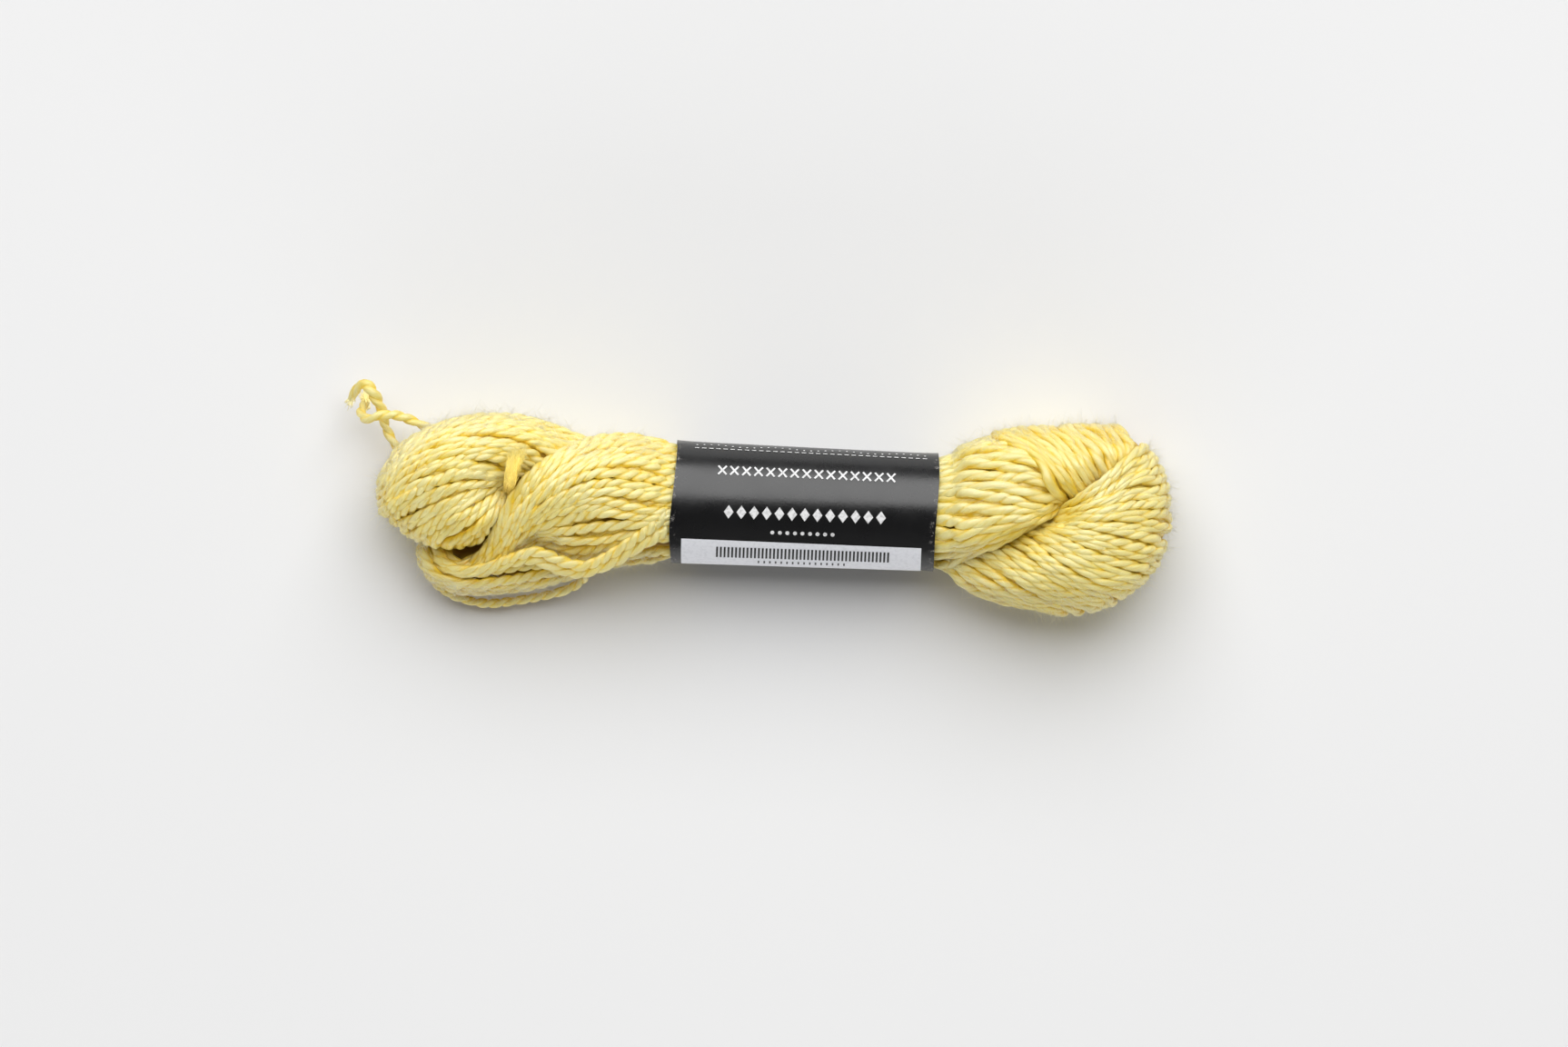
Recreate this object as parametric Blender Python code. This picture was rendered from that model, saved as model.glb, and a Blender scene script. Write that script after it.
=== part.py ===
"""Skein of embroidery floss: a twisted, tucked hank of silk thread with a paper label.

Run with: blender --background --python part.py   (metres, +Z up)

X runs along the skein and Z is up. The origin is on the surface that the skein lies on, under
the middle of the hank. The hank is one solid: cores fill it, and bands of thread are laid over
the cores. A band is described by a few guide threads. Each guide is one row of the band's
table, and its columns are the places that the thread passes, from where it comes up to where
it goes down, as (x, y, z) in millimetres.
"""
from collections import namedtuple
from math import cos, pi, sin

import bmesh
import bpy
import numpy as np
from mathutils import Vector

MM = 0.001

# --- driving dimensions -------------------------------------------------------------------
THREAD_D = 1.25 * MM          # one two-ply thread
CLEAR = 0.3 * MM              # gap that touching solids keep

LABEL_CENTRE = Vector((3.7, 0.95, 8.6)) * MM
LABEL_TURN = -2.33 * pi / 180          # the label lies a little askew on the hank
LABEL_LENGTH = 33.2 * MM
LABEL_HALF_WIDTH_LEFT = 7.7 * MM
LABEL_HALF_WIDTH_RIGHT = 7.4 * MM
LABEL_HALF_HEIGHT = 6.8 * MM
LABEL_WALL = 1.0 * MM
SEAT_DEPTH = 6.0 * MM         # the label's seat in the hank is cut this far out of it
LABEL_SIDES = 56
LABEL_RINGS = 8

VOXEL = 0.65 * MM             # grain at which the bands and cores are fused
KEEP_SHARE = 0.21             # share of the fused faces that the solid keeps
BAND_THICKNESS = 3.4 * MM     # depth of a band's ridges
RIDGE_SIDES = 8
RIDGE_OVERLAP = 0.62          # half width of a ridge, as a share of the spacing of the ridges
RIDGE_HALF_WIDTHS = (0.8, 2.6)           # mm, the least and the most
TUBE_SIDES = 8
TIE_STATIONS = 34
LOOSE_STATIONS = 24           # stations along the slipped thread and the tie's bed
SURFACE_BLOCK = (0.2, 0.1, 0.02)         # m, the block below the surface that trims the hank
FACET_ROOM = 1.1              # a faceted tube's flats lie this much inside its radius

RollStep = namedtuple("RollStep", "inward sideways height")
ROLL = (                      # mm, the way of a thread from the rim back under the hank
    RollStep(0.9, 1.0, 3.8),
    RollStep(3.2, 2.2, 0.4),
    RollStep(6.5, 3.6, 0.4),
)

SHOULDER_OUT = 0.72           # place of the shoulder between a thread's brow and its rim
SHOULDER_UP = 0.66

# --- bands of thread ------------------------------------------------------------------------
# Right end, from the label to the eye of the fold.
FROM_LABEL = (
    # in_label, collar, shoulder, crown, eye, sunk
    ((15.0, -6.4, 8.6), (20.2, -6.2, 8.9), (23.8, -5.4, 11.0),
     (27.4, -4.0, 13.4), (31.0, -2.1, 14.6), (35.6, 0.2, 12.0)),
    ((15.0, -3.4, 14.0), (20.2, -3.3, 14.2), (24.6, -3.1, 15.4),
     (29.0, -2.2, 16.2), (32.8, -0.9, 15.6), (36.4, 0.8, 12.4)),
    ((15.0, 0.6, 15.0), (20.3, 0.6, 15.3), (24.8, 0.3, 16.6),
     (29.4, 0.0, 17.2), (33.4, 0.0, 16.4), (36.6, 1.2, 13.0)),
    ((15.0, 4.4, 13.4), (20.5, 4.6, 13.8), (25.4, 5.2, 15.9),
     (30.7, 4.5, 17.0), (34.6, 3.4, 16.0), (37.4, 2.2, 13.2)),
    ((15.0, 6.5, 10.6), (20.6, 6.7, 11.2), (24.4, 7.8, 13.2),
     (28.4, 8.2, 14.8), (32.4, 7.2, 15.4), (36.4, 4.6, 13.4)),
    ((15.0, 7.1, 8.4), (20.6, 7.2, 8.6), (23.8, 8.4, 8.9),
     (27.6, 9.8, 9.2), (31.4, 10.2, 9.6), (35.8, 9.4, 10.0)),
)
# Right end, over the far side and down to the fold.
OVER_TOP = (
    # rim                 brow                crown               slope               sunk
    ((27.4, 10.0, 8.8), (31.4, 8.2, 14.9), (33.8, 6.1, 16.9), (34.9, 3.6, 17.0), (36.9, 0.8, 13.0)),
    ((31.5, 10.6, 8.6), (34.3, 8.7, 14.6), (36.8, 5.7, 16.8), (38.4, 3.2, 16.0), (39.8, 1.0, 12.0)),
    ((34.6, 10.8, 8.5), (36.9, 8.7, 14.4), (38.5, 6.8, 16.2), (39.7, 4.8, 15.6), (41.2, 2.2, 12.0)),
    ((38.0, 11.0, 8.4), (39.8, 9.6, 13.2), (40.9, 7.8, 15.2), (41.6, 5.6, 15.0), (42.2, 3.2, 12.0)),
    ((43.0, 10.8, 8.2), (44.2, 9.8, 11.6), (44.7, 8.7, 13.2), (44.4, 7.5, 13.8), (44.2, 5.4, 12.0)),
)
# Right end, the fold itself: the threads fan out of the eye and over the near side and the end.
FOLD = (
    # sunk                 rise                crown               brow                rim
    ((19.6, -5.2, 7.6), (21.9, -7.6, 7.9), (24.4, -9.4, 8.0), (27.8, -11.0, 7.8), (32.6, -12.0, 7.2)),
    ((20.8, -4.0, 9.0), (24.4, -6.5, 10.6), (27.6, -8.6, 12.0), (31.0, -10.8, 11.0), (36.0, -12.7, 7.6)),
    ((26.4, -3.2, 10.0), (29.4, -5.0, 13.4), (32.9, -7.7, 15.2), (36.4, -10.0, 14.2), (41.2, -12.1, 8.0)),
    ((29.6, -1.8, 10.6), (32.6, -3.2, 14.6), (36.4, -5.9, 17.0), (40.6, -8.3, 16.0), (45.4, -9.2, 8.2)),
    ((31.8, -1.0, 11.0), (34.6, -2.0, 15.2), (38.4, -3.4, 17.7), (43.4, -5.2, 16.2), (48.4, -6.2, 8.4)),
    ((33.4, -0.6, 11.4), (35.8, -1.1, 15.4), (39.6, -1.4, 17.8), (45.0, -2.2, 16.0), (49.9, -2.8, 8.6)),
    ((34.4, -0.2, 11.8), (36.6, 0.0, 15.6), (40.4, 0.6, 17.8), (45.4, 1.4, 15.8), (50.2, 1.4, 8.7)),
    ((35.0, 0.2, 12.2), (37.2, 1.0, 15.8), (40.8, 2.6, 17.6), (44.8, 4.6, 15.8), (49.0, 5.6, 8.8)),
    ((35.2, 0.6, 12.4), (37.6, 1.8, 15.8), (40.6, 3.7, 17.4), (43.8, 6.4, 15.9), (46.8, 8.4, 9.2)),
)
# Left end, the bundle that leaves the label, dips and turns round the small loop.
SWEEP = (
    # thread by thread: in_label, collar, hump, crest, slope, bend, fall, foot, turn, back, rise, tuck
    ((-9.0, 8.4, 8.6), (-13.2, 8.6, 8.7), (-18.0, 9.7, 9.4),
     (-23.0, 9.4, 11.4), (-27.6, 7.6, 14.2), (-30.7, 5.2, 15.6),
     (-33.0, 2.4, 15.0), (-34.7, -0.6, 13.6), (-36.4, -3.6, 10.6),
     (-38.0, -5.7, 7.8), (-40.6, -6.3, 6.2), (-42.6, -4.4, 5.2)),
    ((-9.0, 5.6, 13.4), (-13.2, 6.0, 13.6), (-18.0, 7.1, 15.0),
     (-22.8, 6.6, 16.0), (-26.6, 4.9, 16.4), (-29.6, 2.6, 16.0),
     (-32.2, 0.0, 14.8), (-34.4, -2.7, 12.8), (-36.8, -5.4, 9.9),
     (-39.6, -6.9, 8.2), (-42.6, -6.2, 7.0), (-43.8, -3.8, 6.0)),
    ((-9.0, 2.6, 15.0), (-13.4, 2.8, 15.2), (-17.8, 3.2, 16.0),
     (-22.2, 3.6, 16.7), (-26.3, 2.6, 16.4), (-29.6, 0.8, 15.4),
     (-32.4, -1.3, 13.8), (-34.6, -3.8, 11.8), (-37.2, -6.4, 9.2),
     (-40.2, -7.7, 7.6), (-43.2, -6.9, 6.6), (-44.8, -4.2, 5.8)),
    ((-9.0, -0.4, 15.0), (-13.7, -0.2, 15.2), (-17.8, 0.2, 15.6),
     (-22.2, 0.8, 15.9), (-26.3, 0.2, 15.2), (-29.8, -1.1, 14.0),
     (-32.6, -3.0, 12.2), (-35.0, -5.2, 10.4), (-37.8, -7.2, 8.2),
     (-41.0, -8.2, 6.8), (-44.0, -6.8, 6.0), (-45.2, -4.2, 5.4)),
    ((-9.0, -2.6, 13.8), (-14.0, -2.0, 14.0), (-18.4, -2.2, 13.8),
     (-22.8, -2.4, 13.2), (-26.8, -2.4, 12.2), (-30.2, -3.1, 11.2),
     (-32.8, -4.4, 10.2), (-35.4, -6.2, 9.0), (-38.2, -7.6, 7.4),
     (-41.4, -8.3, 6.0), (-44.3, -6.6, 5.4), (-45.4, -4.2, 5.0)),
    ((-9.0, -4.0, 12.0), (-14.6, -3.0, 13.0), (-19.0, -3.6, 12.6),
     (-23.2, -4.2, 11.8), (-27.2, -4.2, 10.8), (-30.4, -4.8, 10.0),
     (-33.0, -5.6, 9.2), (-35.8, -6.8, 8.2), (-38.6, -7.9, 6.9),
     (-41.8, -8.4, 5.8), (-44.6, -6.6, 5.2), (-45.6, -4.2, 4.8)),
)
# Left end, the lower bundle: out of the label beneath the first, and round the small loop.
LOWER_LOOP = (
    # in_label, collar, under, back, middle, turn
    # bight                tuck
    ((-9.0, -3.6, 11.6), (-13.6, -3.2, 11.8), (-18.2, -4.0, 10.2), (-22.6, -5.8, 8.4), (-28.4, -7.0, 7.8),
     (-36.0, -7.8, 7.4), (-42.6, -7.8, 6.6), (-45.0, -4.4, 5.6)),
    ((-9.0, -5.0, 8.6), (-13.6, -4.8, 8.8), (-18.2, -5.2, 7.4), (-23.0, -6.6, 6.0), (-29.0, -8.4, 5.6),
     (-36.0, -9.2, 5.4), (-43.0, -8.6, 5.2), (-45.2, -4.6, 4.8)),
    ((-9.0, -5.2, 6.4), (-13.6, -5.2, 6.4), (-18.4, -5.4, 5.0), (-23.4, -6.8, 3.4), (-29.0, -9.0, 2.7),
     (-36.0, -10.1, 2.6), (-43.2, -9.0, 3.0), (-45.4, -4.8, 4.0)),
)
# Left end, the loose waves that cross from the first bundle to the lower one.
LOOSE_WAVES = (
    # collar, dip, trough, wave, rise, crest, fall, foot, turn, back
    ((-14.2, 0.2, 14.8), (-18.3, -3.2, 13.6), (-21.8, -5.2, 12.0), (-25.0, -5.9, 10.8), (-27.9, -4.6, 10.6),
     (-30.4, -3.8, 10.8), (-32.8, -4.4, 10.2), (-35.2, -5.9, 9.0), (-38.4, -7.1, 7.6), (-41.5, -7.9, 6.4)),
    ((-14.0, -1.2, 14.2), (-18.0, -4.6, 12.6), (-21.6, -6.6, 10.8), (-25.2, -7.3, 9.4), (-28.2, -6.3, 9.2),
     (-30.8, -5.8, 9.4), (-33.2, -6.2, 9.0), (-35.8, -7.1, 8.2), (-39.0, -7.9, 7.0), (-42.0, -8.1, 6.2)),
)
# Left end, the upper half of the tucked lobe: over its top and round the tip.
TUCKED_TOP = (
    # sunk, rise, crown, brow, tip, rim
    ((-23.8, 9.4, 8.4), (-28.0, 11.2, 8.6), (-35.0, 12.4, 8.6),
     (-42.6, 11.2, 8.5), (-47.2, 8.6, 8.4), (-49.9, 4.8, 8.2)),
    ((-26.0, 7.8, 11.0), (-29.4, 9.9, 12.6), (-35.4, 11.6, 12.4),
     (-41.6, 10.9, 12.2), (-46.6, 8.2, 11.4), (-50.1, 4.0, 8.2)),
    ((-28.4, 6.6, 11.6), (-31.6, 8.8, 14.4), (-36.4, 10.0, 15.2),
     (-42.0, 9.4, 14.8), (-46.6, 7.0, 13.2), (-50.2, 3.2, 8.2)),
    ((-30.6, 5.6, 11.6), (-33.6, 7.8, 15.2), (-37.6, 8.4, 16.4),
     (-42.2, 7.8, 16.0), (-46.6, 5.8, 14.0), (-50.2, 2.4, 8.2)),
    ((-32.4, 4.8, 11.4), (-35.2, 6.2, 15.2), (-39.0, 6.6, 16.8),
     (-43.2, 6.0, 16.4), (-47.0, 4.4, 14.0), (-50.1, 1.6, 8.2)),
    ((-33.6, 4.3, 11.2), (-36.2, 4.9, 15.2), (-39.6, 5.0, 16.8),
     (-43.6, 4.4, 16.4), (-47.2, 3.0, 13.6), (-49.9, 0.8, 8.2)),
)
# Left end, the lower half of the tucked lobe: out of its eye and over the near side.
TUCKED_LOW = (
    # sunk                 rise                 crown                brow                  rim
    ((-33.8, 4.1, 11.0), (-36.4, 4.2, 15.0), (-40.6, 3.8, 16.6), (-45.4, 2.2, 15.0), (-49.6, 0.2, 8.2)),
    ((-34.0, 3.8, 11.0), (-36.8, 3.2, 14.8), (-40.6, 2.0, 16.2), (-44.4, 0.5, 14.4), (-47.8, -1.1, 8.2)),
    ((-34.1, 3.5, 11.0), (-36.8, 2.0, 14.6), (-39.8, 0.4, 15.8), (-43.0, -1.2, 14.0), (-45.8, -2.7, 8.4)),
    ((-34.1, 3.2, 11.0), (-36.4, 0.9, 14.4), (-38.7, -0.8, 15.2), (-41.4, -2.4, 13.4), (-43.4, -3.8, 8.6)),
    ((-34.0, 2.9, 11.0), (-35.8, 0.4, 14.2), (-37.4, -1.5, 14.4), (-39.4, -2.9, 12.4), (-41.2, -3.9, 8.8)),
    ((-33.8, 2.6, 11.0), (-35.2, 0.4, 13.8), (-36.2, -1.3, 13.2), (-37.5, -2.6, 11.4), (-39.0, -3.7, 8.6)),
)
# The one thread that has slipped out and hangs below the small loop.
SLIPPED_THREAD = (            # hand-laid, mm
    (-22.6, -5.6, 6.4), (-23.8, -7.0, 5.2), (-24.7, -8.6, 3.6), (-27.0, -10.4, 1.9), (-30.8, -11.4, 1.0),
    (-35.0, -11.6, 0.9), (-38.6, -11.0, 1.4), (-41.6, -9.6, 2.6), (-43.4, -8.0, 3.8),
)

# name: (guides, ridges across, stations along, flow end that rolls under the rim, lobe middle)
RIGHT_MIDDLE = (35.0, -1.0, 8.6)
TUCK_MIDDLE = (-41.0, 4.6, 8.3)
SWEEP_MIDDLE = (-28.0, 0.0, 7.5)
BANDS = {
    "from_label": (FROM_LABEL, 7, 18, None, RIGHT_MIDDLE),
    "over_top": (OVER_TOP, 5, 16, "start", RIGHT_MIDDLE),
    "fold": (FOLD, 12, 20, "end", RIGHT_MIDDLE),
    "sweep": (SWEEP, 7, 34, None, SWEEP_MIDDLE),
    "lower_loop": (LOWER_LOOP, 3, 26, None, SWEEP_MIDDLE),
    "loose_waves": (LOOSE_WAVES, 2, 24, None, SWEEP_MIDDLE),
    "tucked_top": (TUCKED_TOP, 7, 22, "end", TUCK_MIDDLE),
    "tucked_low": (TUCKED_LOW, 6, 18, "end", TUCK_MIDDLE),
}
# Filling under the bands: (x, y, z) of the middle and (x, y, z) half sizes, in millimetres.
CORES = (
    ((34.6, -1.0, 8.3), (13.4, 9.8, 7.4)),
    ((34.8, -1.0, 4.6), (12.0, 9.4, 5.4)),
    ((26.0, 0.6, 8.4), (9.0, 7.4, 6.6)),
    ((-40.6, 4.6, 8.0), (8.6, 7.0, 7.0)),
    ((-40.2, 4.4, 4.4), (8.0, 6.6, 5.2)),
    ((-38.6, -4.4, 3.0), (4.6, 3.2, 3.4)),
    ((-33.0, -3.6, 4.6), (4.6, 4.0, 4.4)),
    ((-31.5, 7.4, 7.6), (7.5, 4.6, 5.6)),
    ((-25.0, 2.0, 7.8), (9.0, 6.6, 6.6)),
)
WAIST = ((-20.0, 1.9), (-12.9, 1.6), (20.3, 0.26), (25.0, 0.8))   # (x, y) of its middle, mm
WAIST_Z = 8.6
WAIST_STATIONS = 12
WAIST_SIDES = 32
WAIST_HALF_WIDTH = 6.9
WAIST_HALF_HEIGHT = 6.3

TIE_ROUTE = (                 # hand-laid, mm: free end, first leg, through the hank, second leg
    (-53.9, 14.6, 4.4), (-53.3, 15.7, 5.4), (-52.4, 16.4, 6.4), (-51.6, 16.2, 7.0), (-50.8, 15.0, 6.9),
    (-50.2, 13.9, 6.2), (-49.8, 12.7, 5.3), (-49.6, 11.4, 4.7), (-49.1, 10.2, 4.6), (-48.4, 9.0, 4.6),
    (-46.9, 7.2, 4.6), (-44.8, 5.9, 4.8), (-42.6, 6.2, 5.2), (-41.8, 8.2, 5.7), (-42.9, 10.2, 6.3),
    (-45.0, 11.4, 6.9), (-46.6, 12.1, 7.2), (-48.4, 12.6, 7.4), (-50.2, 12.5, 7.5), (-51.4, 12.1, 7.2),
    (-52.3, 12.3, 6.4), (-52.6, 13.2, 5.2), (-52.1, 14.2, 4.0),
)
TIE_BED = (9, 17)             # the points of the route that the hank is grooved for
TIE_D = 1.24 * MM
CUT_END_ROUTE = (             # hand-laid, mm: out of the tucked lobe's eye, along its top
    (-33.9, 3.0, 13.4), (-33.6, 3.8, 15.2), (-33.3, 5.2, 16.9), (-32.9, 6.7, 17.7), (-32.5, 8.4, 18.0),
)
CUT_END_RADII = (0.45, 0.6, 0.75, 0.9, 0.75)      # mm, widening to the frayed top

SILK = (0.86, 0.74, 0.28, 1.0)
PAPER = (0.012, 0.012, 0.013, 1.0)


# --- curves -----------------------------------------------------------------------------------
def resample(points, count):
    """`count` points at even steps along a centripetal Catmull-Rom curve through `points`."""
    p = np.asarray(points, dtype=float)
    knots = np.concatenate([[0.0], np.cumsum(np.sqrt(np.linalg.norm(np.diff(p, axis=0), axis=1)))])
    p = np.vstack([2 * p[0] - p[1], p, 2 * p[-1] - p[-2]])
    knots = np.concatenate([[2 * knots[0] - knots[1]], knots, [2 * knots[-1] - knots[-2]]])
    dense = []
    for i in range(1, len(p) - 2):
        t0, t1, t2, t3 = knots[i - 1:i + 3]
        t = np.linspace(t1, t2, 16, endpoint=False)[:, None]
        a1 = (t1 - t) / (t1 - t0) * p[i - 1] + (t - t0) / (t1 - t0) * p[i]
        a2 = (t2 - t) / (t2 - t1) * p[i] + (t - t1) / (t2 - t1) * p[i + 1]
        a3 = (t3 - t) / (t3 - t2) * p[i + 1] + (t - t2) / (t3 - t2) * p[i + 2]
        b1 = (t2 - t) / (t2 - t0) * a1 + (t - t0) / (t2 - t0) * a2
        b2 = (t3 - t) / (t3 - t1) * a2 + (t - t1) / (t3 - t1) * a3
        dense.append((t2 - t) / (t2 - t1) * b1 + (t - t1) / (t2 - t1) * b2)
    dense = np.vstack(dense + [p[-2][None]])
    length = np.concatenate([[0.0], np.cumsum(np.linalg.norm(np.diff(dense, axis=0), axis=1))])
    at = np.linspace(0.0, length[-1], count)
    return np.stack([np.interp(at, length, dense[:, axis]) for axis in range(3)], axis=1)


def roll_under(guide, middle):
    """Carry a guide that ends on the rim round it and back under the lobe."""
    brow, rim = np.array(guide[-2]), np.array(guide[-1])
    heading = unit((rim - brow)[:2])
    outward = unit(rim[:2] - np.array(middle[:2]))
    sideways = heading - (heading @ outward) * outward
    shoulder = np.append(brow[:2] + SHOULDER_OUT * (rim - brow)[:2],
                         rim[2] + SHOULDER_UP * (brow - rim)[2])
    under = [np.append(rim[:2] - step.inward * outward + step.sideways * sideways, step.height)
             for step in ROLL]
    return [*guide[:-1], shoulder, rim, *under]


def band_surface(guides, across, along, rolled_end, middle):
    """Grid of points (across, along, 3) in mm, on the surface that the guide threads span."""
    rows = []
    for guide in guides:
        if rolled_end == "start":
            guide = roll_under(guide[::-1], middle)[::-1]
        elif rolled_end == "end":
            guide = roll_under(guide, middle)
        rows.append(resample(guide, along))
    rows = np.array(rows)
    rows = np.concatenate([[2 * rows[0] - rows[1]], rows, [2 * rows[-1] - rows[-2]]])
    grid = []
    for place in np.linspace(0.0, len(guides) - 1.0, across):
        i = min(int(place), len(guides) - 2)
        t = place - i
        p0, p1, p2, p3 = rows[i:i + 4]
        grid.append(0.5 * (2 * p1 + (p2 - p0) * t + (2 * p0 - 5 * p1 + 4 * p2 - p3) * t ** 2
                           + (3 * p1 - p0 - 3 * p2 + p3) * t ** 3))
    return np.array(grid)


def unit(vectors):
    return vectors / np.maximum(np.linalg.norm(vectors, axis=-1, keepdims=True), 1e-9)


# --- meshes -----------------------------------------------------------------------------------
def add_rings(bm, rings):
    """A closed tube through rings of points, each a list of the same length."""
    verts = [[bm.verts.new(p) for p in ring] for ring in rings]
    sides = len(verts[0])
    for ring, following in zip(verts, verts[1:]):
        for i in range(sides):
            j = (i + 1) % sides
            bm.faces.new((ring[i], ring[j], following[j], following[i]))
    bm.faces.new(verts[0][::-1])
    bm.faces.new(verts[-1])


def add_band(bm, guides, across, along, rolled_end, middle):
    """One flattened tube for each ridge of a band, sunk so that its top is the band's surface."""
    grid = band_surface(guides, across, along, rolled_end, middle)
    flow = unit(np.gradient(grid, axis=1))
    side = np.gradient(grid, axis=0)
    spacing = np.linalg.norm(side, axis=-1)
    side = unit(side - (side * flow).sum(-1, keepdims=True) * flow)
    normal = np.cross(flow, side)
    if (normal * (grid - np.array(middle))).sum() < 0:
        normal = -normal
    half_thick = BAND_THICKNESS / MM / 2
    half_wide = np.clip(RIDGE_OVERLAP * spacing, *RIDGE_HALF_WIDTHS)
    angles = [2 * pi * k / RIDGE_SIDES for k in range(RIDGE_SIDES)]
    for i in range(across):
        rings = []
        for j in range(along):
            middle_point = grid[i, j] - normal[i, j] * (half_thick - THREAD_D / MM / 2)
            rings.append([Vector(middle_point + half_wide[i, j] * cos(a) * side[i, j]
                                 + half_thick * sin(a) * normal[i, j]) * MM for a in angles])
        add_rings(bm, rings)


def add_tube(bm, route, radii):
    """A round tube along `route` (mm) with one radius (mm) for each of its points."""
    turns = [2 * pi * k / TUBE_SIDES for k in range(TUBE_SIDES)]
    route = np.asarray(route)
    flow = unit(np.gradient(route, axis=0))
    side = unit(np.cross(flow, (0.0, 0.0, 1.0)))
    lift = np.cross(side, flow)
    rings = [[Vector(p + r * (cos(a) * s + sin(a) * u)) * MM for a in turns]
             for p, r, s, u in zip(route, radii, side, lift)]
    add_rings(bm, rings)


def add_ellipsoid(bm, middle, half_sizes):
    made = bmesh.ops.create_icosphere(bm, subdivisions=3, radius=1.0)["verts"]
    for vert in made:
        vert.co = Vector([(m + h * c) * MM for m, h, c in zip(middle, half_sizes, vert.co)])


def label_section(share, grow):
    """One section of the label, `share` of the way along it, grown outwards by `grow`."""
    half_width = LABEL_HALF_WIDTH_LEFT + share * (LABEL_HALF_WIDTH_RIGHT - LABEL_HALF_WIDTH_LEFT) + grow
    half_height = LABEL_HALF_HEIGHT + grow
    along = (share - 0.5) * LABEL_LENGTH
    ring = []
    for k in range(LABEL_SIDES):
        a = 2 * pi * k / LABEL_SIDES
        y = half_width * cos(a)
        ring.append(LABEL_CENTRE + Vector((along * cos(LABEL_TURN) - y * sin(LABEL_TURN),
                                           along * sin(LABEL_TURN) + y * cos(LABEL_TURN),
                                           half_height * sin(a))))
    return ring


def add_sleeve(bm, inner_grow, outer_grow, end_grow):
    """A closed sleeve between two offsets of the label's section."""
    extra = end_grow / LABEL_LENGTH
    shares = [-extra + (1 + 2 * extra) * k / (LABEL_RINGS - 1) for k in range(LABEL_RINGS)]
    inner = [[bm.verts.new(p) for p in label_section(s, inner_grow)] for s in shares]
    outer = [[bm.verts.new(p) for p in label_section(s, outer_grow)] for s in shares]
    for i in range(LABEL_SIDES):
        j = (i + 1) % LABEL_SIDES
        for k in range(LABEL_RINGS - 1):
            bm.faces.new((outer[k][i], outer[k][j], outer[k + 1][j], outer[k + 1][i]))
            bm.faces.new((inner[k][j], inner[k][i], inner[k + 1][i], inner[k + 1][j]))
        bm.faces.new((outer[0][j], outer[0][i], inner[0][i], inner[0][j]))
        bm.faces.new((outer[-1][i], outer[-1][j], inner[-1][j], inner[-1][i]))


# --- objects ----------------------------------------------------------------------------------
def finish_material(name, colour, roughness, sheen=0.0):
    material = bpy.data.materials.new(name)
    material.use_nodes = True
    shader = material.node_tree.nodes["Principled BSDF"]
    shader.inputs["Base Color"].default_value = colour
    shader.inputs["Roughness"].default_value = roughness
    shader.inputs["Sheen Weight"].default_value = sheen
    return material


def make_object(name, bm, material):
    bmesh.ops.recalc_face_normals(bm, faces=bm.faces)
    mesh = bpy.data.meshes.new(name)
    bm.to_mesh(mesh)
    bm.free()
    mesh.shade_smooth()
    made = bpy.data.objects.new(name, mesh)
    bpy.context.scene.collection.objects.link(made)
    if material:
        mesh.materials.append(material)
    return made


def make_cutter(name, bm):
    cutter = make_object(name, bm, None)
    cutter.hide_render = True
    cutter.display_type = "WIRE"
    return cutter


def cut(target, cutter, operation="DIFFERENCE"):
    modifier = target.modifiers.new(f"{operation.lower()} {cutter.name}", "BOOLEAN")
    modifier.operation = operation
    modifier.solver = "EXACT"
    modifier.object = cutter


def make_hank(silk):
    """Cores and bands fused into one solid, clear of the label and flat where it rests."""
    bm = bmesh.new()
    for guides, across, along, rolled_end, middle in BANDS.values():
        add_band(bm, guides, across, along, rolled_end, middle)
    for middle, half_sizes in CORES:
        add_ellipsoid(bm, middle, half_sizes)
    waist = resample([(x, y, WAIST_Z) for x, y in WAIST], WAIST_STATIONS)
    turns = [2 * pi * k / WAIST_SIDES for k in range(WAIST_SIDES)]
    rings = [[Vector((x, y + WAIST_HALF_WIDTH * cos(a), z + WAIST_HALF_HEIGHT * sin(a))) * MM
              for a in turns] for x, y, z in waist]
    add_rings(bm, rings)
    hank = make_object("hank", bm, silk)

    fuse = hank.modifiers.new("fuse the bands", "REMESH")
    fuse.mode = "VOXEL"
    fuse.voxel_size = VOXEL
    fuse.use_smooth_shade = True
    thin = hank.modifiers.new("thin the faces", "DECIMATE")
    thin.ratio = KEEP_SHARE

    bm = bmesh.new()
    add_tube(bm, resample(SLIPPED_THREAD, LOOSE_STATIONS), [THREAD_D / MM / 2] * LOOSE_STATIONS)
    cut(hank, make_cutter("slipped_thread", bm), "UNION")

    bm = bmesh.new()
    first, last = TIE_BED
    bed = resample(TIE_ROUTE[first - 1:last + 1], LOOSE_STATIONS)
    add_tube(bm, bed, [(TIE_D / 2 + CLEAR) / MM * FACET_ROOM] * LOOSE_STATIONS)
    cut(hank, make_cutter("tie_bed", bm))

    bm = bmesh.new()
    add_tube(bm, CUT_END_ROUTE, [(r + CLEAR / MM) * FACET_ROOM for r in CUT_END_RADII])
    cut(hank, make_cutter("cut_end_bed", bm))

    bm = bmesh.new()
    add_sleeve(bm, -LABEL_WALL - CLEAR, SEAT_DEPTH, CLEAR)
    cut(hank, make_cutter("label_seat", bm))

    bm = bmesh.new()
    bmesh.ops.create_cube(bm, size=1.0)
    for vert in bm.verts:
        vert.co = Vector([size * c for size, c in zip(SURFACE_BLOCK, vert.co)])
        vert.co.z -= SURFACE_BLOCK[2] / 2
    cut(hank, make_cutter("surface_below", bm))
    return hank


def make_label(paper):
    bm = bmesh.new()
    add_sleeve(bm, -LABEL_WALL, 0.0, 0.0)
    return make_object("label_band", bm, paper)


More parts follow.
